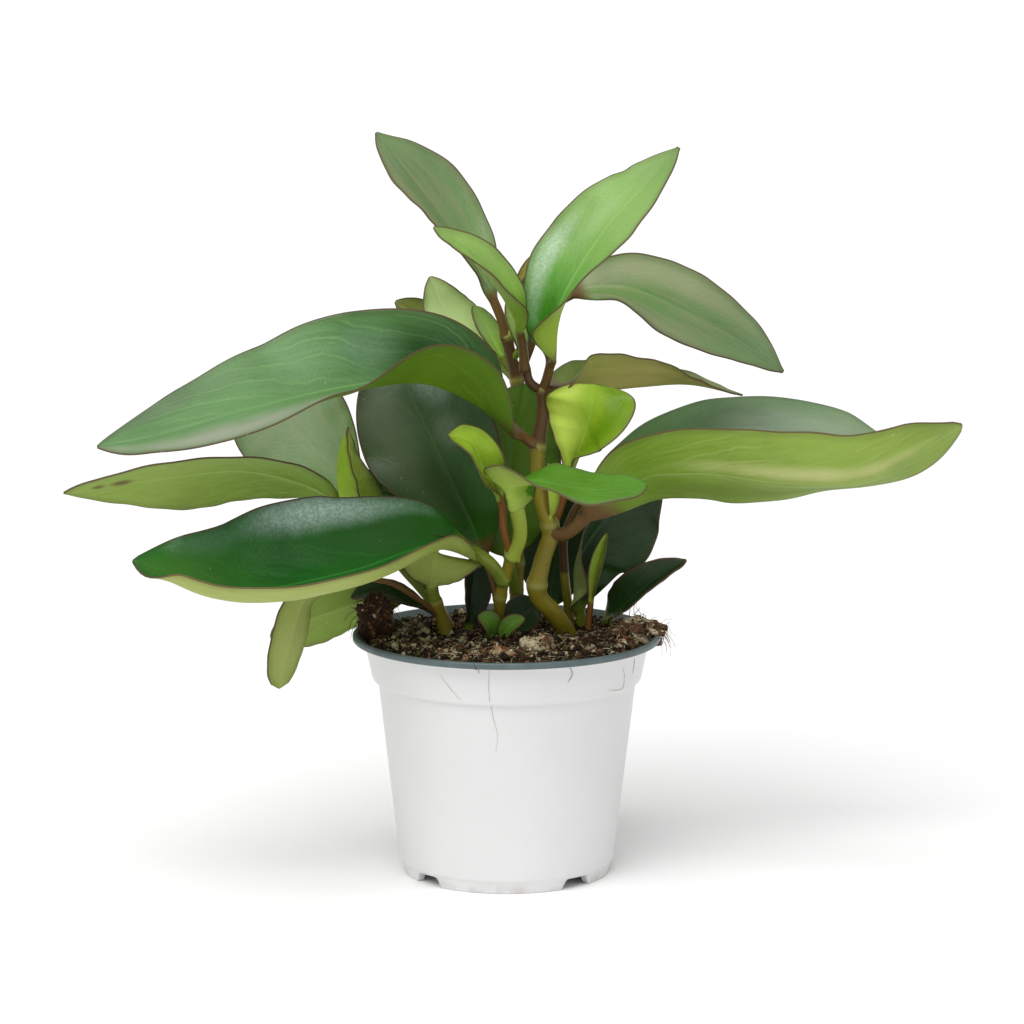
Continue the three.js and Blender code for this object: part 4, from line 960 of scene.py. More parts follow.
def soil_height(x, y):
    """The height of the peat: a dome that falls with the square of the distance, a smooth rise
    towards the wall, and lumps from products of sines."""
    dome = SOIL_DOME * (1 - (x * x + y * y) / DOME_REACH**2)
    dome = dome + SOIL_RISE * smooth((np.hypot(x, y) - RISE_START) / RISE_START)
    lumps = np.sin(x * 0.31 + 1) * np.cos(y * 0.27) + 0.6 * np.sin(x * 0.13 - y * 0.22)
    return SOIL_LEVEL + dome + LUMP_HEIGHT * lumps


def peat_surface(x, y, relief):
    """The peat's height with finer lumps added."""
    fine = waves(x * 0.35, y * 0.35, 0.0, SEED, 4)
    return soil_height(x, y) + relief * 0.6 * fine


def peat_material(looks, name):
    """Mixes dark, brown and pale by each crumb's own tone, with a fine grain."""
    shade = Shade(name)
    tone, red, moss = shade.parts("tone")
    place = shade.place()
    grain = shade.noise(place, 900, 4, 0.7)
    dark = linear(screen(looks.dark))
    value = shade.total(tone, shade.centred(shade.noise(place, 120, 5, 0.75), 2.2))
    colour = shade.mix(shade.step(value, 0.25, 0.6), dark, linear(screen(looks.brown)))
    colour = shade.paint(colour, screen(looks.pale), shade.step(value, 0.55, 0.8))
    colour = shade.paint(colour, (142, 86, 54), red, 0.8)
    colour = shade.paint(colour, (120, 122, 60), moss, 0.6)
    colour = shade.mix(shade.blend(shade.step(grain, 0.35, 0.65), 0.45, 1.0), dark, colour)
    normal = shade.bump(grain, 0.8, 0.0006)
    return shade.finish(colour, 0.9, normal, Specular_IOR_Level=0.25)


def peat_values(tone, red=0.0, moss=0.0, copies=1):
    """The peat's attribute: how pale, how red and how mossy it is. The value of a crumb or a strand
    is copied to each of its points."""
    values = np.stack(np.broadcast_arrays(tone, red, moss), -1)
    return {"tone": np.repeat(values, copies, axis=0)}


def ball():
    """The twelve points and twenty faces of an icosahedron: two poles and two rings of five, which
    stand the angle whose tangent is a half from its middle plane."""
    tilt = math.atan(0.5)
    turn = 2 * np.pi * np.arange(5) / 5
    ring = np.stack([np.cos(turn), np.sin(turn)], -1) * math.cos(tilt)
    low = np.stack([np.cos(turn + np.pi / 5), np.sin(turn + np.pi / 5)], -1) * math.cos(tilt)
    rise = math.sin(tilt)
    points = np.vstack([
        [(0, 0, 1)],
        np.column_stack([ring, np.full(5, rise)]),
        np.column_stack([low, np.full(5, -rise)]),
        [(0, 0, -1)],
    ])
    k = np.arange(5)
    n = (k + 1) % 5
    faces = np.vstack([
        np.column_stack([np.zeros(5, int), 1 + k, 1 + n]),
        np.column_stack([1 + k, 6 + k, 1 + n]),
        np.column_stack([1 + n, 6 + k, 6 + n]),
        np.column_stack([np.full(5, 11), 6 + n, 6 + k]),
    ])
    return points, faces


def turn_matrices(rng, count):
    """Random turns as matrices, from unit quaternions."""
    w, x, y, z = unit(rng.normal(size=(count, 4))).T
    return np.stack([
        np.stack([1 - 2 * (y * y + z * z), 2 * (x * y - z * w), 2 * (x * z + y * w)], -1),
        np.stack([2 * (x * y + z * w), 1 - 2 * (x * x + z * z), 2 * (y * z - x * w)], -1),
        np.stack([2 * (x * z - y * w), 2 * (y * z + x * w), 1 - 2 * (x * x + y * y)], -1),
    ], 1)


def crumb_mesh(rng, centres, sizes):
    """Copies of a ball at the centres, each stretched, roughened and turned at random."""
    points, faces = ball()
    count = len(centres)
    rough = 1 + 0.28 * rng.normal(size=(count, len(points), 1)).clip(-1.6, 1.6)
    stretch = rng.uniform(0.6, 1.25, size=(count, 1, 3))
    bodies = points[None] * rough * stretch * sizes[:, None, None]
    bodies = np.einsum("kij,kvj->kvi", turn_matrices(rng, count), bodies) + centres[:, None]
    corners = faces[None] + np.arange(count)[:, None, None] * len(points)
    return bodies.reshape(-1, 3), [corners.reshape(-1, 3)]


def strand_mesh(paths, radii):
    """Closed thin tubes along many paths of the same number of points. Each goes to nothing at its
    ends by the root of a half sine."""
    count, steps = paths.shape[:2]
    headings = unit(np.gradient(paths, axis=1))
    fade = 0.25 + 0.75 * np.sqrt(np.sin(np.pi * np.linspace(0.04, 0.96, steps)))
    thick = (np.asarray(radii)[:, None] * fade).ravel()
    rings = tube_rings(paths.reshape(-1, 3), headings.reshape(-1, 3), thick, STRAND_SIDES)
    size = steps * STRAND_SIDES
    first = np.arange(count)[:, None, None] * size
    quads = ring_faces(steps, STRAND_SIDES) + first
    corner = np.arange(STRAND_SIDES)
    caps = np.stack([corner[::-1], size - STRAND_SIDES + corner]) + first
    return rings.reshape(-1, 3), [quads.reshape(-1, 4), caps.reshape(-1, 4)]


def disc_places(rng, count, radius):
    """Places spread evenly over a disc: the root of an even draw times the radius, at any angle."""
    reach = radius * np.sqrt(rng.uniform(0, 1, count))
    turn = rng.uniform(0, 2 * np.pi, count)
    return reach * np.cos(turn), reach * np.sin(turn)


class PEPEROMIA_OT_soil(bpy.types.Operator):
    """Fills the pot with peat, lumpy on top"""

    bl_idname = "peperomia.soil"
    bl_label = "Peat"

    def execute(self, context):
        looks = context.scene.peperomia_peat
        turns = 2 * np.pi * np.arange(SOIL_SEGMENTS) / SOIL_SEGMENTS
        reach = SOIL_RADIUS * np.sqrt(np.linspace(1, 0.0001, SOIL_RINGS))
        radius, turn = np.meshgrid(reach, turns, indexing="ij")
        x, y = radius * np.cos(turn), radius * np.sin(turn)
        edge = smooth((SOIL_RADIUS - radius) / 2)
        top = np.stack([x, y, peat_surface(x, y, looks.relief / MM) - 1.2 * (1 - edge)], -1)
        wall = np.array([
            (0.01, FOOT_HEIGHT + 2.7),
            (WALL_FOOT_RADIUS - WALL_THICKNESS - 0.4, FOOT_HEIGHT + 2.7),
            (WALL_TOP_RADIUS - WALL_THICKNESS + 0.2, COLLAR_STEP),
            (SOIL_RADIUS - 0.7, SOIL_LEVEL - 2.5),
        ])
        out, up = wall[:, :1], wall[:, 1:]
        side = np.stack(np.broadcast_arrays(out * np.cos(turns), out * np.sin(turns), up), -1)
        rings = np.concatenate([side, top])
        tone = 0.3 + 0.12 * waves(rings[..., 0] * 0.2, rings[..., 1] * 0.2, 0.0, SEED + 1)
        add_piece("peat_fine", closed_tube(rings, peat_values(tone)), ["soil"],
                  peat_material(looks, "damp_peat"))
        return {"FINISHED"}


class PEPEROMIA_OT_crumbs(bpy.types.Operator):
    """Strews crumbs, pale granules and fibres over the peat"""

    bl_idname = "peperomia.crumbs"
    bl_label = "Crumbs and fibres"

    def execute(self, context):
        looks = context.scene.peperomia_peat
        rng = np.random.default_rng(SEED)
        count = looks.crumbs
        x, y = disc_places(rng, count, SOIL_RADIUS - 1.5)
        sizes = 0.35 + 1.15 * rng.uniform(0, 1, count) ** 3
        z = peat_surface(x, y, looks.relief / MM) + sizes * rng.uniform(-0.2, 0.9, count)
        points, faces = crumb_mesh(rng, np.stack([x, y, z], -1), sizes)
        tone = rng.uniform(0, 1, count) ** 1.3
        patch = smooth(0.5 + waves(x * 0.09, y * 0.09, 0.0, SEED + 2, 2))
        tone = np.clip(tone * (0.65 + 0.5 * patch), 0, 1)
        reddish = 0.05 + 0.5 * np.exp(-((x + 4) ** 2 + (y + 32) ** 2) / 90)
        red = (rng.uniform(0, 1, count) < reddish) * 1.0
        moss = (rng.uniform(0, 1, count) < 0.08) * 1.0
        values = peat_values(tone, red, moss, len(points) // count)
        add_piece("peat_crumbs", (points, faces, values), [],
                  peat_material(looks, "peat_crumbs"), smooth_shaded=False)
        self.strew_fibres(looks, rng)
        return {"FINISHED"}

    @staticmethod
    def strew_fibres(looks, rng):
        """Fibres lie as short arcs: a heading that turns evenly along each, just over the peat."""
        count, steps = looks.strands, PEAT_FIBRE_POINTS
        x, y = disc_places(rng, count, SOIL_RADIUS - 4)
        heading = rng.uniform(0, 2 * np.pi, count)[:, None]
        bend = rng.normal(0, 0.35, count)[:, None] * np.arange(steps)
        stride = rng.uniform(0.5, 1.6, count)[:, None]
        path_x = x[:, None] + np.cumsum(stride * np.cos(heading + bend), axis=1)
        path_y = y[:, None] + np.cumsum(stride * np.sin(heading + bend), axis=1)
        reach = np.hypot(path_x, path_y)
        inward = np.minimum(1, (SOIL_RADIUS - 1.5) / reach)
        path_x, path_y = path_x * inward, path_y * inward
        rise = rng.uniform(0.3, 2.2, count)[:, None] * np.sin(np.linspace(0, np.pi, steps))
        path_z = peat_surface(path_x, path_y, looks.relief / MM) + 0.2 + rise
        paths = np.stack([path_x, path_y, path_z], -1)
        points, faces = strand_mesh(paths, rng.uniform(0.06, 0.17, count))
        values = peat_values(rng.uniform(0.35, 1.0, count), copies=len(points) // count)
        add_piece("peat_fibres", (points, faces, values), [],
                  peat_material(looks, "peat_fibres"))


class PEPEROMIA_OT_clumps(bpy.types.Operator):
    """Makes the peat and root clumps at the lip and the chunks on the peat"""

    bl_idname = "peperomia.clumps"
    bl_label = "Clumps"

    def execute(self, context):
        looks = context.scene.peperomia_peat
        for name, clump in CLUMPS.items():
            self.make_clump(name, clump, looks)
        return {"FINISHED"}

    @staticmethod
    def lump(clump, u, v):
        """A point of a ball at turn u and tilt v, with the plain solid's bumps and finer ones,
        stretched to the clump's half sizes."""
        p = np.stack([np.cos(v) * np.cos(u), np.cos(v) * np.sin(u), np.sin(v)], -1)
        vary = clump["vary"]
        x, y, z = p[..., 0], p[..., 1], p[..., 2]
        bump = 1 + 0.14 * np.sin(5 * x + vary) * np.cos(4 * y - vary)
        bump = bump + 0.1 * np.sin(7 * z + 2 * vary + 3 * x)
        bump = bump + 0.09 * waves(4 * x, 4 * y, 4 * z, SEED + vary, 4)
        return np.array(clump["at"]) + p * bump[..., None] * np.array(clump["size"])

    def make_clump(self, name, clump, looks):
        tilts = np.radians(np.linspace(-89.5, 89.5, CLUMP_RINGS))
        turns = 2 * np.pi * np.arange(CLUMP_SEGMENTS) / CLUMP_SEGMENTS
        v, u = np.meshgrid(tilts, turns, indexing="ij")
        rings = self.lump(clump, u, v)
        tone = clump["tone"] + 0.15 * waves(*np.moveaxis(rings * 0.5, -1, 0), SEED, 3)
        values = peat_values(tone, 0.7 if name == "chunk_reddish" else 0.1)
        add_piece(name + "_fine", closed_tube(rings, values), [name],
                  peat_material(looks, name))
        self.add_crumbs(name, clump, looks)
        if clump["fibres"]:
            self.add_fibres(name, clump, looks)

    def add_crumbs(self, name, clump, looks):
        """Crumbs sit on the lump's skin."""
        rng = np.random.default_rng(SEED + clump["vary"])
        count = CLUMP_CRUMBS
        u = rng.uniform(0, 2 * np.pi, count)
        v = np.arcsin(rng.uniform(-0.3, 1, count))
        sizes = rng.uniform(0.25, 0.9, count)
        points, faces = crumb_mesh(rng, self.lump(clump, u, v), sizes)
        tone = np.clip(clump["tone"] + rng.normal(0, 0.22, count), 0, 1)
        red = (rng.uniform(0, 1, count) < (0.5 if name == "chunk_reddish" else 0.12)) * 1.0
        values = peat_values(tone, red, copies=len(points) // count)
        add_piece(name + "_crumbs", (points, faces, values), [],
                  peat_material(looks, name + "_crumbs"), smooth_shaded=False)

    def add_fibres(self, name, clump, looks):
        """Fibres start on the lump's skin, leave outwards and to one side, and droop with the
        square of the distance, but never into the peat or the pot's lip."""
        rng = np.random.default_rng(SEED + 20 + clump["vary"])
        count, steps = clump["fibres"], CLUMP_FIBRE_POINTS
        u = rng.uniform(0, 2 * np.pi, count)
        v = np.arcsin(rng.uniform(-0.5, 1, count))
        root = self.lump(clump, u, v)
        out = unit(root - np.array(clump["at"]))
        aside = unit(np.cross(out, rng.normal(size=(count, 3))))
        length = rng.uniform(2, 9, count)[:, None, None]
        t = np.linspace(-0.15, 1, steps)[None, :, None]
        curl = rng.uniform(0.3, 1.2, count)[:, None, None]
        paths = root[:, None] + length * (0.45 * t * out[:, None] + curl * t * aside[:, None])
        paths = paths + 0.4 * np.sin(t * 6 + rng.uniform(0, 6, (count, 1, 3)))
        paths[..., 2] -= (length * 0.35 * t**2)[..., 0]
        reach = np.hypot(paths[..., 0], paths[..., 1])
        lip = np.where(reach > SOIL_RADIUS, POT_HEIGHT, 0)
        low = np.maximum(soil_height(paths[..., 0], paths[..., 1]), lip)
        low = np.where(reach < LIP_RADIUS + 1, low, 0)
        paths[..., 2] = np.maximum(paths[..., 2], low + 0.2)
        points, faces = strand_mesh(paths, rng.uniform(0.05, 0.16, count))
        tone = clump["tone"] + rng.uniform(-0.1, 0.3, count)
        values = peat_values(tone, 0.15, copies=len(points) // count)
        add_piece(name + "_fibres", (points, faces, values), [],
                  peat_material(looks, name + "_fibres"))


class PEPEROMIA_OT_hairs(bpy.types.Operator):
    """Lays the root hairs that stick to the outside of the pot"""

    bl_idname = "peperomia.hairs"
    bl_label = "Root hairs"

    def execute(self, context):
        looks = context.scene.peperomia_peat
        heights = [0, FOOT_HEIGHT, COLLAR_STEP - 1, COLLAR_STEP + 0.6,
                   LIP_FOOT - 0.1, LIP_FOOT, POT_HEIGHT]
        radii = [FOOT_RADIUS, WALL_FOOT_RADIUS, WALL_TOP_RADIUS, COLLAR_FOOT_RADIUS,
                 COLLAR_TOP_RADIUS, LIP_RADIUS, LIP_RADIUS]
        paths = []
        for route, _ in POT_HAIRS:
            flat = place_on([(a, z, 0) for a, z in route], np.linspace(0, 1, HAIR_POINTS))[0]
            turn = np.radians(flat[:, 0])
            reach = np.interp(flat[:, 1], heights, radii) + 0.15
            paths.append(np.stack([reach * np.sin(turn), -reach * np.cos(turn), flat[:, 1]], -1))
        points, faces = strand_mesh(np.array(paths), [half for _, half in POT_HAIRS])
        values = peat_values(np.full(len(points), 0.55))
        add_piece("pot_root_hairs", (points, faces, values), [],
                  peat_material(looks, "root_hairs"))
        return {"FINISHED"}


# Stems

def stem_material(looks):
    """Green skin, brown along young stretches, with paler rings at the nodes and brown specks."""
    shade = Shade("stem_skin")
    _, ring, young = shade.parts("stem")
    place = shade.place()
    streaks = shade.noise(place, 260, 3)
    patches = shade.noise(place, 60, 3)
    green = screen(looks.green)
    colour = shade.mix(patches, tint(green, 0.82), tint(green, 1.14))
    brown = shade.step(shade.total(young, shade.centred(patches, 0.5)), 0.35, 0.65)
    colour = shade.paint(colour, screen(looks.brown), brown)
    colour = shade.paint(colour, screen(looks.node), shade.math("POWER", ring, 6.0), 0.75)
    colour = shade.paint(colour, (96, 72, 44), shade.step(streaks, 0.62, 0.72), 0.25)
    normal = shade.bump(streaks, 0.15, 0.0004)
    return shade.finish(colour, 0.4, normal, Specular_IOR_Level=0.3)


class PEPEROMIA_OT_stems(bpy.types.Operator):
    """Grows the fleshy stems with their swollen nodes"""

    bl_idname = "peperomia.stems"
    bl_label = "Stems"

    def execute(self, context):
        looks = context.scene.peperomia_stems
        material = stem_material(looks)
        for name, stem in STEMS.items():
            rings, attributes = self.stem_rings(stem, looks.sides)
            add_piece(name + "_fine", closed_tube(rings, attributes), [name], material)
        return {"FINISHED"}

    @staticmethod
    def stem_rings(stem, sides):
        """Circles along the route. The radius swells by a bell at each node, has a shallow groove
        just above it, and closes in a dome at the end."""
        length = place_on(stem["path"], np.array([0.0, 1.0]))[2]
        fraction = np.linspace(0, 1, max(12, round(length)))
        middle, heading, _ = place_on(stem["path"], fraction)
        radius = along(stem["radius"], fraction)
        bells = np.zeros_like(fraction)
        grooves = np.zeros_like(fraction)
        for node in stem["nodes"]:
            away = (fraction - node) * length
            bells += np.exp(-((away / NODE_REACH) ** 2))
            grooves += np.exp(-(((away - GROOVE_PLACE) / GROOVE_REACH) ** 2))
        full = radius * (1 + NODE_SWELL * bells - NODE_GROOVE * grooves)
        turn = np.linspace(0.2, 1.4, DOME_POINTS)
        dome = middle[-1] + heading[-1] * (full[-1] * 0.6 * np.sin(turn))[:, None]
        middle = np.vstack([middle, dome])
        full = np.concatenate([full, full[-1] * np.cos(turn)])
        last = np.minimum(np.arange(len(full)), len(fraction) - 1)
        heading, fraction, bells = heading[last], fraction[last], bells[last]
        rings = tube_rings(middle, heading, full, sides)
        young = smooth((fraction - stem["brown"] + 0.1) / 0.2)
        values = np.stack([fraction, np.clip(bells, 0, 1), young], -1)
        return rings, {"stem": np.repeat(values[:, None], sides, axis=1)}


# Leaves

def outline_width(outline, share):
    """Half the width at a share of the length: a power of the distance from the base times a power
    of the distance from the tip, scaled so that the widest place is one."""
    base, tip = outline
    widest = base / (base + tip)
    scale = widest**base * (1 - widest) ** tip
    return share**base * (1 - share) ** tip / scale


def half_section(width, fold, curl):
    """Lateral distance, height and slope across one half of each cross-section. The slope starts
    flat, turns by the fold over the hinge and then evenly by the curl, and is summed in steps."""
    middle = (np.arange(SECTION_STEPS) + 0.5) / SECTION_STEPS
    slope = fold[:, None] * smooth(middle / HINGE_WIDTH) + curl[:, None] * middle
    stride = width[:, None] / SECTION_STEPS
    start = np.zeros((len(width), 1))
    lateral = np.hstack([start, np.cumsum(stride * np.cos(slope), axis=1)])
    height = np.hstack([start, np.cumsum(stride * np.sin(slope), axis=1)])
    taken = np.round(ACROSS * SECTION_STEPS).astype(int)
    edge_slope = fold[:, None] * smooth(ACROSS / HINGE_WIDTH) + curl[:, None] * ACROSS
    return lateral[:, taken], height[:, taken], edge_slope


def leaf_rings(leaf, stations, seed):
    """Rings of points round a leaf from its stalk to its tip: the upper side, the margin, the
    underside and the other margin."""
    rng = np.random.default_rng(seed)
    fraction = np.linspace(0, 1, stations)
    point, heading, length = place_on(leaf["path"], fraction)
    face = unit(along(leaf["face"], fraction))
    face = unit(face - heading * (face * heading).sum(-1, keepdims=True))
    side = np.cross(face, heading)
    share = np.clip((fraction - leaf["stalk"]) / (1 - leaf["stalk"]), 0, 1)
    grown = smooth(share / BLADE_START)
    opened = grown * smooth((1 - share) / TIP_EASE)
    radius = leaf.get("radius", STALK_RADIUS) * (1 - STALK_TAPER * share)
    root = 1 + ROOT_SWELL * np.exp(-((fraction * length / ROOT_REACH) ** 2))
    blade = leaf["half"] * outline_width(leaf["outline"], share)
    width = np.cbrt(radius**3 + blade**3) * root
    size = min(1.0, leaf["half"] / LARGE_LEAF)
    halves = []
    for sign, folds, curl, phase in ((1, "left", 0, 0.8), (-1, "right", 1, 2.4)):
        span = width.copy()
        for place, at_side, depth, reach in leaf.get("nicks", []):
            span *= 1 - depth * (at_side == sign) * np.exp(-(((share - place) / reach) ** 2))
        fold = np.radians(along(leaf[folds], share)) * opened
        curling = np.radians(leaf["curl"][curl]) * opened
        lateral, height, slope = half_section(span, fold, curling)
        wave = leaf.get("ripple", 0) * np.sin(4 * np.pi * share + phase)[:, None]
        flutter = 0
        for reach, low, high in ((FLUTTER, 1.5, 3), (FINE_FLUTTER, 5, 8)):
            flutter += reach * np.sin(2 * np.pi * (rng.uniform(low, high) * share + rng.uniform()))
        wave = (wave + size * flutter[:, None]) * ACROSS**2 * opened[:, None]
        halves.append((sign * lateral, height + wave, slope))
    (left_x, left_z, left_slope), (right_x, right_z, right_slope) = halves
    signed = np.concatenate([ACROSS[::-1], -ACROSS[1:]])
    away = np.abs(signed)
    lateral = np.hstack([left_x[:, ::-1], right_x[:, 1:]])
    height = np.hstack([left_z[:, ::-1], right_z[:, 1:]])
    tilt = np.hstack([left_slope[:, ::-1], -right_slope[:, 1:]])
    middle = point[:, None] + side[:, None] * lateral[..., None] + face[:, None] * height[..., None]
    normal = face[:, None] * np.cos(tilt)[..., None] - side[:, None] * np.sin(tilt)[..., None]
    outward = side[:, None] * np.cos(tilt)[..., None] + face[:, None] * np.sin(tilt)[..., None]
    round_half = (radius * root)[:, None] * np.sqrt(1 - STALK_ROUNDNESS * away**2)
    flat_half = BLADE_HALF_THICKNESS - MARGIN_THINNING * away**2
    half = round_half + (flat_half - round_half) * grown[:, None]
    spine = ((1 - share) * grown)[:, None]
    keel = KEEL_DEPTH * spine * np.maximum(0, 1 - away / KEEL_WIDTH) ** 2
    groove = GROOVE_DEPTH * grown[:, None] * np.exp(-((away * width[:, None] / GROOVE_WIDTH) ** 2))
    quilt = QUILT_DEPTH * grown[:, None] * pucker(share[:, None], signed) * size
    upper = middle + normal * (half - groove + quilt)[..., None]
    lower = middle - normal * (half + keel - quilt * 0.6)[..., None]
    left_edge = middle[:, 0] + outward[:, 0] * half[:, :1]
    right_edge = middle[:, -1] - outward[:, -1] * half[:, -1:]
    rings = np.concatenate([upper, right_edge[:, None], lower[:, ::-1], left_edge[:, None]], axis=1)
    around = np.concatenate([signed, [-1], signed[::-1], [1]])
    top = np.concatenate([np.ones(len(signed)), [0.5], np.zeros(len(signed)), [0.5]])
    reach = width[:, None]
    blade = np.stack(np.broadcast_arrays(share[:, None], around, top), -1)
    measure = np.stack(np.broadcast_arrays(
        around * reach, (1 - np.abs(around)) * reach, grown[:, None]), -1)
    return rings, {"blade": blade, "measure": measure}


def pucker(share, lateral):
    """Low swells between the side veins: the cosine of the veins' own count, fading at the midrib
    and the margin."""
    away = np.abs(lateral)
    count = VEIN_COUNT * (share - 0.4 * away - 0.1 * away**2) + 0.5 * (lateral > 0)
    return -np.cos(2 * np.pi * count) * 4 * away * (1 - away)


def leaf_material(name, leaf, looks):
    """A leaf's colours from where a point is on it. Side veins leave the midrib at a narrow angle
    and bend towards the tip, stronger in some places than in others."""
    shade = Shade(name)
    share, lateral, top = shade.parts("blade")
    rib, edge, grown = shade.parts("measure")
    place = shade.place()
    away = shade.math("ABSOLUTE", lateral)
    wander = shade.centred(shade.noise(place, 55, 3), 1.0)
    cloud = shade.noise(place, 34, 4)
    pebble = shade.step(shade.noise(place, 900, 2), 0.35, 0.68)
    bend = shade.total(shade.times(away, 0.4), shade.times(shade.math("POWER", away, 2.0), 0.1))
    count = shade.times(shade.math("SUBTRACT", share, bend), float(VEIN_COUNT))
    half = shade.times(shade.math("GREATER_THAN", lateral, 0.0), 0.5)
    count = shade.total(count, half, shade.times(wander, 1.2))
    main = shade.step(shade.math("PINGPONG", count, 0.5), 0.14, 0.0)
    minor = shade.step(shade.math("PINGPONG", shade.times(count, 3.0), 0.5), 0.2, 0.0)
    fade = shade.times(shade.step(edge, 0.5, 5.0), shade.step(away, 0.02, 0.12))
    uneven = shade.blend(shade.step(shade.noise(place, 26, 2), 0.4, 0.62), 0.2, 1.0)
    lines = shade.total(shade.times(main, 0.8), shade.times(minor, 0.22))
    lines = shade.math("MULTIPLY", shade.times(lines, fade), uneven, clamp=True)
    lengthwise = shade.vector(shade.times(share, 2.2), shade.times(lateral, 5.5), 0.0)
    streaks = shade.step(shade.noise(lengthwise, 1.0, 2, 0.5), 0.4, 0.72)
    along_veins = shade.vector(shade.times(count, 1.6), shade.times(lateral, 4.0), 0.0)
    mottle = shade.step(shade.noise(along_veins, 1.5, 4, 0.65), 0.35, 0.7)
    midrib = shade.step(shade.math("ABSOLUTE", rib), 0.85, 0.2)
    midrib = shade.times(midrib, shade.blend(share, 1.0, 0.2))

    def side_colour(tones):
        """From the base's tone to the tip's, with darker clouds, a mottle, streaks and veins."""
        tip, vein = np.array(tones["tip"]), np.array(tones["vein"])
        colour = shade.mix(shade.step(share, 0.05, 0.7), linear(tones["base"]), linear(tip))
        colour = shade.paint(colour, 0.78 * tip, shade.step(cloud, 0.42, 0.72), 0.5)
        colour = shade.paint(colour, 0.6 * tip + 0.4 * vein, mottle, 0.3)
        if tones["streak"]:
            colour = shade.paint(colour, tones["streak"], streaks, 0.7)
        colour = shade.paint(colour, vein, lines, looks.vein_strength * tones["contrast"])
        return shade.paint(colour, vein, midrib, tones["midrib"])

    def patch(at_share, at_lateral, reach_along, reach_across):
        """One in the middle of a soft oval and nothing outside it, with a wandering edge."""
        dx = shade.math("DIVIDE", shade.math("SUBTRACT", share, at_share), reach_along)
        dy = shade.math("DIVIDE", shade.math("SUBTRACT", lateral, at_lateral), reach_across)
        reach = shade.math("SQRT", shade.total(shade.times(dx, dx), shade.times(dy, dy)))
        return shade.step(shade.total(reach, shade.times(wander, 0.7)), 1.15, 0.05)

    upper_name, under_name, stalk_name = leaf["tones"]
    upper = side_colour(UPPER_TONES[upper_name])
    under = side_colour(UNDER_TONES[under_name])
    # Patches are colour, and on some leaves also painted shadow, painted sheen and painted light.
    for *where, strength, tone in leaf.get("patches", []):
        upper = shade.paint(upper, tone, patch(*where), strength)
    # Painted sheen: a pale highlight colour, broken by fine pebbles, painted into the upper side.
    for *where, strength, tone in leaf.get("painted_sheens", []):
        painted_sheen = shade.times(patch(*where), shade.blend(pebble, 0.6, 1.0))
        upper = shade.paint(upper, tone, painted_sheen, strength)
    # Blemishes, and painted light that lifts shaded parts of the underside.
    for *where, strength, tone in leaf.get("blemishes_and_painted_light", []):
        under = shade.paint(under, tone, patch(*where), strength)
    which = shade.step(top, 0.3, 0.7)
    to_blade = shade.step(shade.total(grown, shade.times(wander, 0.4)), 0.02, 0.55)
    colour = shade.mix(to_blade, linear(STALK_TONES[stalk_name]), shade.mix(which, under, upper))
    fringe = shade.times(shade.step(edge, 3.5, 0.5), grown)
    colour = shade.paint(colour, (74, 60, 52), fringe, 0.22)
    rim_width = looks.rim_width / MM
    rim = shade.step(shade.total(edge, shade.times(wander, 0.5)), rim_width, rim_width * 0.4)
    rim = shade.times(rim, shade.step(grown, 0.3, 0.9))
    colour = shade.paint(colour, screen(looks.rim), rim, 0.8)
    dust = shade.step(shade.cells(place, 210), 0.1, 0.05)
    dust = shade.times(dust, shade.step(shade.noise(place, 70, 2), 0.5, 0.62))
    colour = shade.paint(colour, (200, 208, 190), dust, 0.3)
    rough = shade.blend(which, 0.6, shade.total(1 - looks.gloss, shade.centred(cloud, 0.12)))
    relief = shade.total(shade.times(lines, 0.6), shade.times(pebble, 0.35))
    return shade.finish(colour, rough, shade.bump(relief, 0.3, 0.0004), Specular_IOR_Level=0.22)


class PEPEROMIA_OT_leaves(bpy.types.Operator):
    """Grows every leaf from its stalk to its tip"""

    bl_idname = "peperomia.leaves"
    bl_label = "Leaves"

    def execute(self, context):
        looks = context.scene.peperomia_leaves
        for number, (name, leaf) in enumerate(LEAVES.items()):
            large = leaf["half"] >= LARGE_LEAF
            stations = looks.stations if large else round(looks.stations * SMALL_LEAF_STATIONS)
            rings, attributes = leaf_rings(leaf, stations, SEED + number)
            add_piece(name + "_fine", closed_tube(rings, attributes), [name],
                      leaf_material(name, leaf, looks))
        return {"FINISHED"}


# Stage

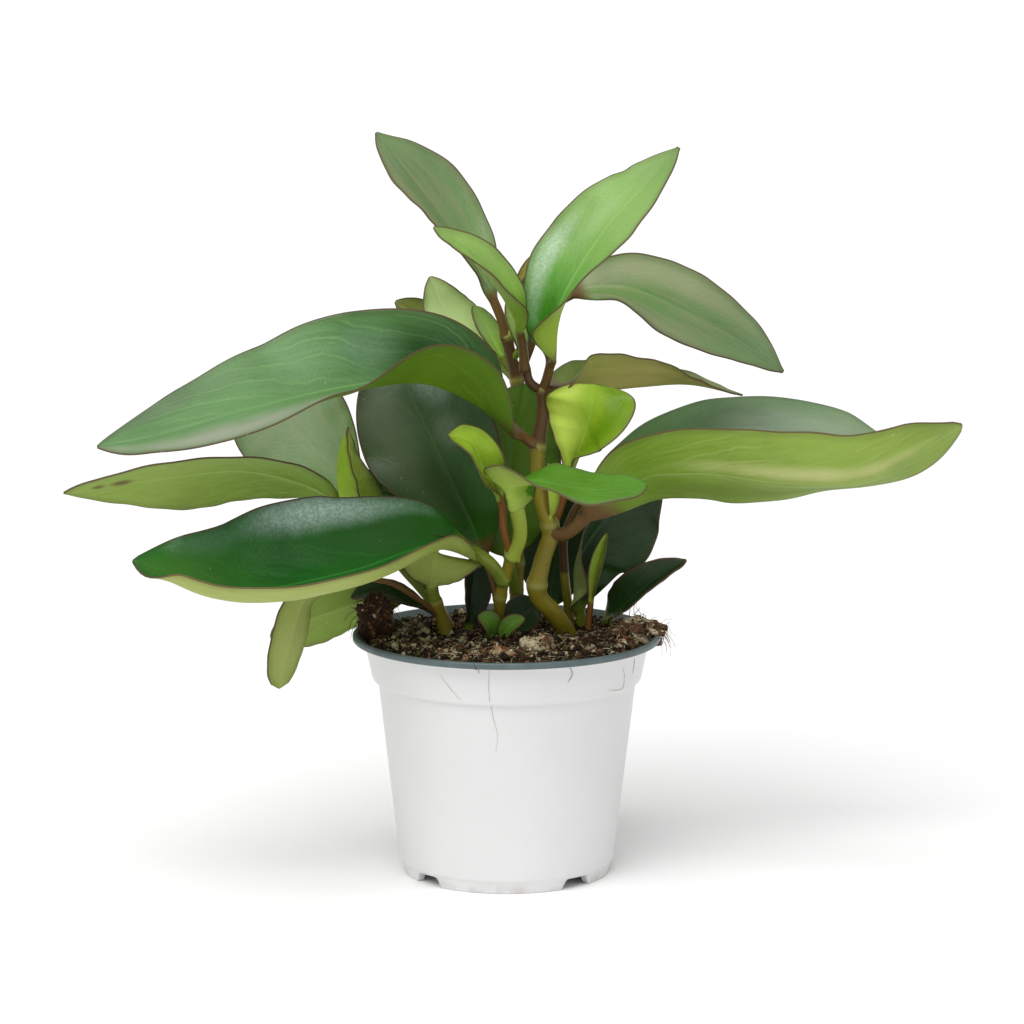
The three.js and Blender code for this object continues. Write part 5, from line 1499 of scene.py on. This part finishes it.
class PEPEROMIA_OT_stage(bpy.types.Operator):
    """Lays the pale floor and sets the camera and the studio lights"""

    bl_idname = "peperomia.stage"
    bl_label = "Stage"

    def execute(self, context):
        looks = context.scene.peperomia_stage
        self.lay_floor(looks)
        self.set_camera(context, looks)
        self.set_lights(context, looks)
        return {"FINISHED"}

    @staticmethod
    def lay_floor(looks):
        corners = np.array([(-1, -1, 0), (1, -1, 0), (1, 1, 0), (-1, 1, 0)]) * FLOOR_REACH / MM
        floor = make_object("floor", corners, [np.array([[0, 1, 2, 3]])])
        shade = Shade("floor")
        floor.data.materials.append(shade.finish(linear(screen(looks.floor)), 0.9))

    @staticmethod
    def set_camera(context, looks):
        data = bpy.data.cameras.new("camera")
        data.lens = looks.lens
        data.sensor_width = SENSOR_WIDTH
        camera = bpy.data.objects.new("camera", data)
        camera.location = (CAMERA_ASIDE * MM, -looks.distance, looks.height)
        camera.rotation_euler = (math.pi / 2 - looks.pitch, 0, 0)
        context.scene.collection.objects.link(camera)
        context.scene.camera = camera

    @staticmethod
    def set_lights(context, looks):
        world = bpy.data.worlds.new("studio")
        world.use_nodes = True
        background = world.node_tree.nodes["Background"]
        background.inputs["Color"].default_value = (1, 1, 1, 1)
        background.inputs["Strength"].default_value = looks.daylight
        context.scene.world = world
        data = bpy.data.lights.new("sky_window", "SUN")
        data.energy = looks.sun
        data.angle = math.radians(LIGHT_SPAN)
        sun = bpy.data.objects.new("sky_window", data)
        sun.rotation_euler = (math.radians(LIGHT_TILT), math.radians(LIGHT_LEAN), 0)
        context.scene.collection.objects.link(sun)
        context.scene.view_settings.view_transform = "Standard"


SETTINGS = {
    "peperomia_pot": PotSettings,
    "peperomia_peat": PeatSettings,
    "peperomia_stems": StemSettings,
    "peperomia_leaves": LeafSettings,
    "peperomia_stage": StageSettings,
}
OPERATORS = (
    PEPEROMIA_OT_pot, PEPEROMIA_OT_soil, PEPEROMIA_OT_crumbs, PEPEROMIA_OT_clumps,
    PEPEROMIA_OT_hairs, PEPEROMIA_OT_stems, PEPEROMIA_OT_leaves, PEPEROMIA_OT_stage,
)


class PEPEROMIA_PT_panel(bpy.types.Panel):
    """Lists the settings and the steps in the order in which they are run"""

    bl_label = "Peperomia"
    bl_space_type = "VIEW_3D"
    bl_region_type = "UI"
    bl_category = "Peperomia"

    def draw(self, context):
        for name, group in SETTINGS.items():
            box = self.layout.box()
            box.label(text=group.__name__.removesuffix("Settings"))
            for key in group.__annotations__:
                box.prop(getattr(context.scene, name), key)
        for operator in OPERATORS:
            self.layout.operator(operator.bl_idname)


def register():
    for group in SETTINGS.values():
        bpy.utils.register_class(group)
    for operator in OPERATORS:
        bpy.utils.register_class(operator)
    bpy.utils.register_class(PEPEROMIA_PT_panel)
    for name, group in SETTINGS.items():
        setattr(bpy.types.Scene, name, bpy.props.PointerProperty(type=group))


def unregister():
    for name in SETTINGS:
        delattr(bpy.types.Scene, name)
    bpy.utils.unregister_class(PEPEROMIA_PT_panel)
    for operator in reversed(OPERATORS):
        bpy.utils.unregister_class(operator)
    for group in reversed(SETTINGS.values()):
        bpy.utils.unregister_class(group)


def main():
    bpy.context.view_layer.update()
    register()
    bpy.ops.peperomia.pot()
    bpy.ops.peperomia.soil()
    bpy.ops.peperomia.crumbs()
    bpy.ops.peperomia.clumps()
    bpy.ops.peperomia.hairs()
    bpy.ops.peperomia.stems()
    bpy.ops.peperomia.leaves()
    bpy.ops.peperomia.stage()
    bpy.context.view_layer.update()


if __name__ == "__main__":
    main()
